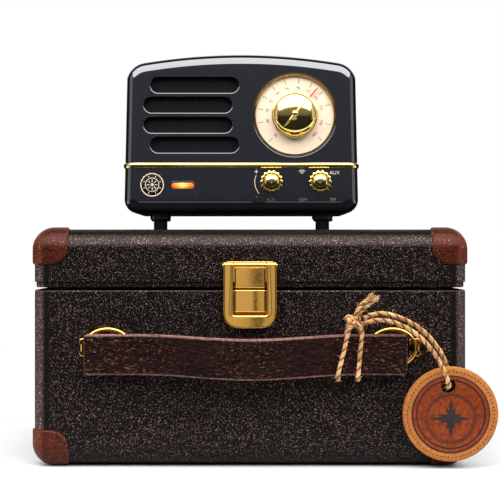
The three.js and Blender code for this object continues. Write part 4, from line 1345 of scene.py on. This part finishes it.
def arc_mark(shape, centre, radius, start, end, width, y, thick=0.05, steps=16):
    outer = arc(centre, radius + width / 2, start, end, steps)
    inner = arc(centre, radius - width / 2, end, start, steps)
    outline = outer + inner
    rings = [shape.loop([(x, at, z) for x, z in outline]) for at in (y - thick / 2, y + thick / 2)]
    shape.bridge(*rings)
    for ring in rings:
        shape.fill([ring])


def add_dial_marks():
    shape = Shape()
    centre = Vector((RADIO_X + DIAL[0], RADIO_BOTTOM + DIAL[1]))
    y = box_mm("dial_plate")[0][1] - 0.03
    for i, station in enumerate((-136, -102, -80, -59, -38, -16, 7, 28, 50, 73, 105, 133)):
        turn = math.radians(station)
        way = Vector((math.sin(turn), math.cos(turn)))
        strip_between(shape, centre + way * 14.0, centre + way * 12.0, 0.24, y)
        letters(shape, str(86 + 2 * i), 1.5, centre + way * 10.4, y, turn=turn)
    place(shape.done("dial_scale", DIAL_INK, sharp=30), "radio", "dial_cream")


DIAL_TURN = (Matrix.Translation((RADIO_X + DIAL[0], RADIO_FRONT, RADIO_BOTTOM + DIAL[1]))
             @ Matrix.Rotation(math.radians(POINTER_TURN), 4, "Y"))


def add_tuning_knob():
    shape = Shape()
    dome = [(0, -5.3), (1.2, -5.27), (2.4, -5.14), (3.6, -4.93), (4.8, -4.6), (5.8, -4.2), (6.7, -3.72),
            (7.4, -3.2),
            (7.85, -2.65), (8.1, -1.95), (8.2, -1.2), (8.22, -0.3), (8.5, -0.24), (8.6, -0.1), (8.6, 0.6),
            (0, 0.6)]
    radio_turned(shape, dome, DIAL)
    radio_turned(shape, [(0, -6.3), (0.5, -6.24), (0.9, -6.05), (1.15, -5.75), (1.2, -5), (0, -5)], DIAL, 40)
    radio_turned(shape, [(0, 0.5), (1.9, 0.5), (1.9, 3.6), (0, 3.6)], DIAL, 32)
    # A finger ridge across the dome, in line with the pointer.
    loops = []
    for i in range(33):
        along_ridge = -7.5 + 15 * i / 32
        sphere = -5.3 + 0.022 * along_ridge ** 2 + 0.0005 * along_ridge ** 4
        ends = math.sqrt(max(0.02, 1 - (along_ridge / 7.6) ** 2))
        width = 0.14 + 0.28 * ends
        section = [(-width, 1.2), (-width, -0.1 * ends), (-width * 0.6, -0.45 * ends), (0, -0.55 * ends),
                   (width * 0.6, -0.45 * ends), (width, -0.1 * ends), (width, 1.2)]
        loops.append([(across, sphere + rise, along_ridge) for across, rise in section])
    ridge = Shape()
    ridge.loft(loops)
    ridge.shift(DIAL_TURN)
    mesh = bpy.data.meshes.new("ridge")
    ridge.bm.to_mesh(mesh)
    ridge.bm.free()
    shape.add_mesh(mesh)
    place(shape.done("tuning_dome", GOLD, sharp=45), "tuning", "brass", "tuning_knob")


def add_pointer():
    shape = Shape()
    outline = [(-0.26, 9.0), (0.26, 9.0), (0.22, 13.0), (0, 13.4), (-0.22, 13.0)]
    shape.loft([[(x, y, z) for x, z in outline] for y in (0.25, 0.65)])
    shape.shift(DIAL_TURN)
    place(shape.done("pointer_needle", RED), "tuning", "pointer_red", "tuning_pointer")


def add_small_knob(name, body, x, node):
    """A fluted knob with a smooth dome."""
    lobes, steps = 14, 168
    profile = [(0, 0, 3.4), (1.9, 0, 3.4), (1.9, 0, -0.9), (3.6, 0.1, -0.9), (4.05, 0.3, -1.1),
               (4.1, 0.34, -1.4), (4.1, 0.34, -2.9),
               (4.0, 0.3, -3.25), (3.75, 0.16, -3.5), (3.35, 0.03, -3.6), (3.1, 0, -3.5), (3.0, 0, -3.7),
               (2.9, 0, -4.2),
               (2.6, 0, -4.8), (2.05, 0, -5.25), (1.2, 0, -5.55), (0, 0, -5.65)]
    loops = []
    middle_x, middle_z = RADIO_X + x, RADIO_BOTTOM + CONTROL_Z
    for radius, wave, y in profile:
        ring = []
        for i in range(steps):
            turn = 2 * math.pi * i / steps
            r = max(radius + wave * (2 * abs(math.cos(lobes * turn / 2)) - 1), 1e-5)
            ring.append((middle_x + r * math.cos(turn), RADIO_FRONT + y, middle_z + r * math.sin(turn)))
        loops.append(ring)
    shape = Shape()
    shape.loft(loops)
    place(shape.done(name, GOLD, sharp=50), body, "brass", node)


def add_lens():
    shape = Shape()
    width, height = LENS_SIZE
    loops = []
    for grow, y in ((-0.3, 2.6), (-0.3, 0.6), (-0.38, 0.3), (-0.6, 0.12), (-0.95, 0.05)):
        loops.append(in_radio(moved(stadium(width, height, grow), LENS), y))
    shape.loft(loops)
    place(shape.done("lens_window", AMBER, sharp=50), "radio", "amber_lens", "indicator_lens")
    frame_ring = Shape()
    rows = [in_radio(moved(stadium(width, height, grow), LENS), y)
            for grow, y in ((-0.25, 0.5), (-0.25, 0.02), (-0.05, -0.1), (0.2, -0.06), (0.3, 0.1), (0.1, 0.5))]
    frame_ring.loft(rows, cyclic=True)
    place(frame_ring.done("lens_frame", FOOT_BLACK, sharp=50), "radio", "black_plastic")


def add_badge():
    """A plain double-ring badge with a sunburst."""
    centre = Vector((RADIO_X + BADGE[0], RADIO_BOTTOM + BADGE[1]))
    y = RADIO_FRONT - 0.28
    back = Shape()
    rim = BADGE_R - 0.1
    turned_y(back, [(0, y + 0.4), (rim, y + 0.4), (rim, y + 0.05), (rim - 0.15, y), (0, y)], centre, 64)
    place(back.done("badge_back", ENAMEL, sharp=40), "radio", "brass", "emblem_badge")
    lines = Shape()
    for radius, width in ((BADGE_R - 0.2, 0.36), (2.55, 0.24)):
        rows = [on_y(circle(radius + side * width / 2, 72), at, centre)
                for side, at in ((-1, y + 0.05), (-1, y - 0.06), (1, y - 0.06), (1, y + 0.05))]
        lines.loft(rows, cyclic=True)
    for i in range(16):
        turn = math.pi * i / 8
        way = Vector((math.sin(turn), math.cos(turn)))
        near, far = (0.9, 2.1) if i % 2 == 0 else (2.95, 3.6)
        strip_between(lines, centre + way * near, centre + way * far, 0.24, y - 0.02, 0.08)
    turned_y(lines, [(0, y + 0.05), (0.55, y + 0.05), (0.5, y - 0.06), (0, y - 0.08)], centre, 24)
    place(lines.done("badge_lines", GILT_INK, sharp=40), "radio", "brass")


def add_labels():
    """Plain control markings: the upper ones bright, the lower ones dim."""
    y = RADIO_FRONT - 0.02

    def at(x, z):
        return RADIO_X + x, RADIO_BOTTOM + z

    upper = Shape()
    letters(upper, "+", 3.0, at(5.7, 15.6), y)
    arc_mark(upper, at(VOLUME_X, CONTROL_Z), 6.3, 156, 223, 0.28, y)
    letters(upper, "AUX", 1.8, at(35.2, 15.3), y)
    for radius in (0.55, 1.1, 1.65):
        arc_mark(upper, at(22.9, 14.7), radius, 45, 135, 0.22, y)
    place(upper.done("upper_marks", GILT_INK, sharp=30), "radio", "brass")
    lower = Shape()
    for text, size, x, z in (("-", 3.0, 5.8, 6.5), ("VOL", 1.9, VOLUME_X, 5.1), ("OFF", 1.9, 23.3, 5.1),
                             ("FM", 1.9, 34.6, 5.1)):
        letters(lower, text, size, at(x, z), y)
    place(lower.done("lower_marks", DIM_GILT, sharp=30), "radio", "brass")


def add_feet():
    bottom = -6.3
    profile = [(0, bottom + 0.05), (2.3, bottom + 0.05), (2.6, bottom + 0.35), (2.6, -2.35), (2.75, -2.2),
               (3.7, -2.15), (3.95, -1.95), (3.95, -0.6), (4.1, -0.2), (4.2, 0.1), (0, 0.1)]
    for deep, x, y in (("front", 31, 9), ("rear", 33, 43)):
        for wide, side in (("left", -1), ("right", 1)):
            shape = Shape()
            middle_x, middle_y = RADIO_X + side * x, RADIO_FRONT + y
            shape.loft([[(middle_x + a, middle_y + b, RADIO_BOTTOM + z) for a, b in circle(max(r, 1e-5))]
                        for r, z in profile])
            name = f"foot_{deep}_{wide}"
            place(shape.done(f"{name}_turned", FOOT_BLACK, sharp=50), "radio", "foot_black", name)


def add_rear_screws():
    profile = [(0, -3), (1, -3), (1, 0), (2.1, 0.02), (2.1, 0.6), (1.7, 1.05), (0.8, 1.2), (0.75, 0.7),
               (0, 0.65)]
    number = 0
    for x in (-39.2, 39.2):
        for z in (7.5, 47):
            number += 1
            shape = Shape()
            spot = (RADIO_X + x, RADIO_BOTTOM + z)
            y = RADIO_FRONT + RADIO_DEPTH
            turned_y(shape, [(r, y + out) for r, out in profile], spot, 32)
            head = shape.done(f"screw_head_{number}", STEEL, sharp=40)
            place(head, "radio", "steel", f"rear_screw_{number}")


add_casing()
add_rear_cover()
add_band()
add_bezel()
add_dial_card()
add_dial_marks()
add_tuning_knob()
add_pointer()
add_small_knob("volume_grip", "volume", VOLUME_X, "volume_knob")
add_small_knob("mode_grip", "mode", MODE_X, "mode_knob")
add_lens()
add_badge()
add_labels()
add_feet()
add_rear_screws()


# ---------- CAD pieces that stay, with their finishes ----------
def finish_cad(material, *nodes):
    for name in nodes:
        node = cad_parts[name]
        node.data.materials.clear()
        node.data.materials.append(material)


finish_cad(GRILLE_CLOTH, "speaker_grille")
finish_cad(STEEL, "speaker_frame", "speaker_magnet", "tuning_gang", "usb_socket")
finish_cad(PAPER, "speaker_cone")
finish_cad(CIRCUIT, "circuit_board")
finish_cad(BLACK_PLASTIC, "battery_pack", "volume_pot", "mode_switch", "aux_socket")
finish_cad(BRASS, "clasp_pin")


# ---------- floor, world and lights ----------
def add_floor():
    """A pale sheet that ends a little way in front of the case and behind it."""
    finish = Finish("floor", Roughness=0.6)
    finish.colour(finish.mix(finish.noise(60, 2.0), (0.61, 0.61, 0.61), (0.63, 0.63, 0.63)))
    mesh = bpy.data.meshes.new("floor")
    wide, near, far = 1.5, (FRONT - 75) * MM, (BACK + 40) * MM
    mesh.from_pydata([(-wide, near, 0), (wide, near, 0), (wide, far, 0), (-wide, far, 0)], [], [(0, 1, 2, 3)])
    mesh.materials.append(finish.material)
    floor = bpy.data.objects.new("floor", mesh)
    bpy.context.collection.objects.link(floor)


# The room's brightness from straight down to straight up, and how much of it is left behind the object.
ROOM = [(0.0, 0.02), (0.49, 0.03), (0.503, 0.10), (0.52, 0.15), (0.57, 0.20), (1.0, 0.4)]
ROOM_BEHIND = [(0.10, 1.0), (0.40, 0.6), (0.55, 0.1)]


def add_world():
    """Pure white behind the object, and a dim room for what its surfaces reflect."""
    world = bpy.data.worlds.new("studio")
    bpy.context.scene.world = world
    world.use_nodes = True
    tree = world.node_tree
    seen = tree.nodes["Background"]
    seen.inputs["Color"].default_value = (1, 1, 1, 1)
    mirrored = tree.nodes.new("ShaderNodeBackground")
    coords = tree.nodes.new("ShaderNodeTexCoord")
    parts = tree.nodes.new("ShaderNodeSeparateXYZ")
    tree.links.new(coords.outputs["Generated"], parts.inputs[0])

    def ramp(source, stops, tint=(1, 1, 1)):
        node = tree.nodes.new("ShaderNodeValToRGB")
        elements = node.color_ramp.elements
        while len(elements) < len(stops):
            elements.new(0.5)
        for element, (place_at, value) in zip(elements, stops):
            element.position = place_at
            element.color = (*(value * c for c in tint), 1)
        tree.links.new(source, node.inputs[0])
        return node.outputs[0]

    def halved(source):
        """Brings -1 to 1 into 0 to 1."""
        node = tree.nodes.new("ShaderNodeMath")
        node.operation = "MULTIPLY_ADD"
        tree.links.new(source, node.inputs[0])
        node.inputs[1].default_value = 0.5
        node.inputs[2].default_value = 0.5
        return node.outputs[0]

    level = tree.nodes.new("ShaderNodeVectorMath")
    level.operation = "MULTIPLY"
    tree.links.new(ramp(halved(parts.outputs["Z"]), ROOM, (0.97, 0.97, 1.18)), level.inputs[0])
    tree.links.new(ramp(halved(parts.outputs["Y"]), ROOM_BEHIND), level.inputs[1])
    tree.links.new(level.outputs[0], mirrored.inputs["Color"])
    mix = tree.nodes.new("ShaderNodeMixShader")
    rays = tree.nodes.new("ShaderNodeLightPath")
    tree.links.new(rays.outputs["Is Camera Ray"], mix.inputs[0])
    tree.links.new(mirrored.outputs[0], mix.inputs[1])
    tree.links.new(seen.outputs[0], mix.inputs[2])
    tree.links.new(mix.outputs[0], tree.nodes["World Output"].inputs["Surface"])


def add_panel(name, low_mm, high_mm, width, glow):
    """A light panel whose middle line runs between two points; glow is its radiance."""
    low, high = Vector(low_mm) * MM, Vector(high_mm) * MM
    middle = (low + high) / 2
    data = bpy.data.lights.new(name, "AREA")
    data.shape = "RECTANGLE"
    data.size = width * MM
    data.size_y = (high - low).length
    data.energy = glow * math.pi * data.size * data.size_y
    up = (high - low).normalized()
    back = middle - Vector((0, 0, 80 * MM))
    back = (back - up * back.dot(up)).normalized()
    lamp = bpy.data.objects.new(name, data)
    lamp.matrix_world = Matrix.Translation(middle) @ Matrix((up.cross(back), up, back)).transposed().to_4x4()
    bpy.context.collection.objects.link(lamp)


add_floor()
add_world()
# A wide box reaches from low in front to straight overhead, a dim one stands behind, and one at each side.
add_panel("front_box", (0, -1500, 780), (0, 0, 1500), 3800, 5.0)
add_panel("back_box", (0, 1500, 500), (0, 1000, 1200), 2400, 1.6)
for wide, side in (("left", -1), ("right", 1)):
    add_panel(f"{wide}_panel", (side * 700, -155, 5), (side * 700, -155, 520), 430, 0.6)
# Cards behind the camera, the middle one dim, give the clasp's flat brass its light and shade.
for name, x, width, glow in (("left", -84, 172, 0.58), ("middle", 12, 20, 0.06), ("right", 81, 118, 0.5)):
    add_panel(f"clasp_card_{name}", (x, -1600, -160), (x, -1600, 85), width, glow)
bpy.context.scene.view_settings.view_transform = "Standard"
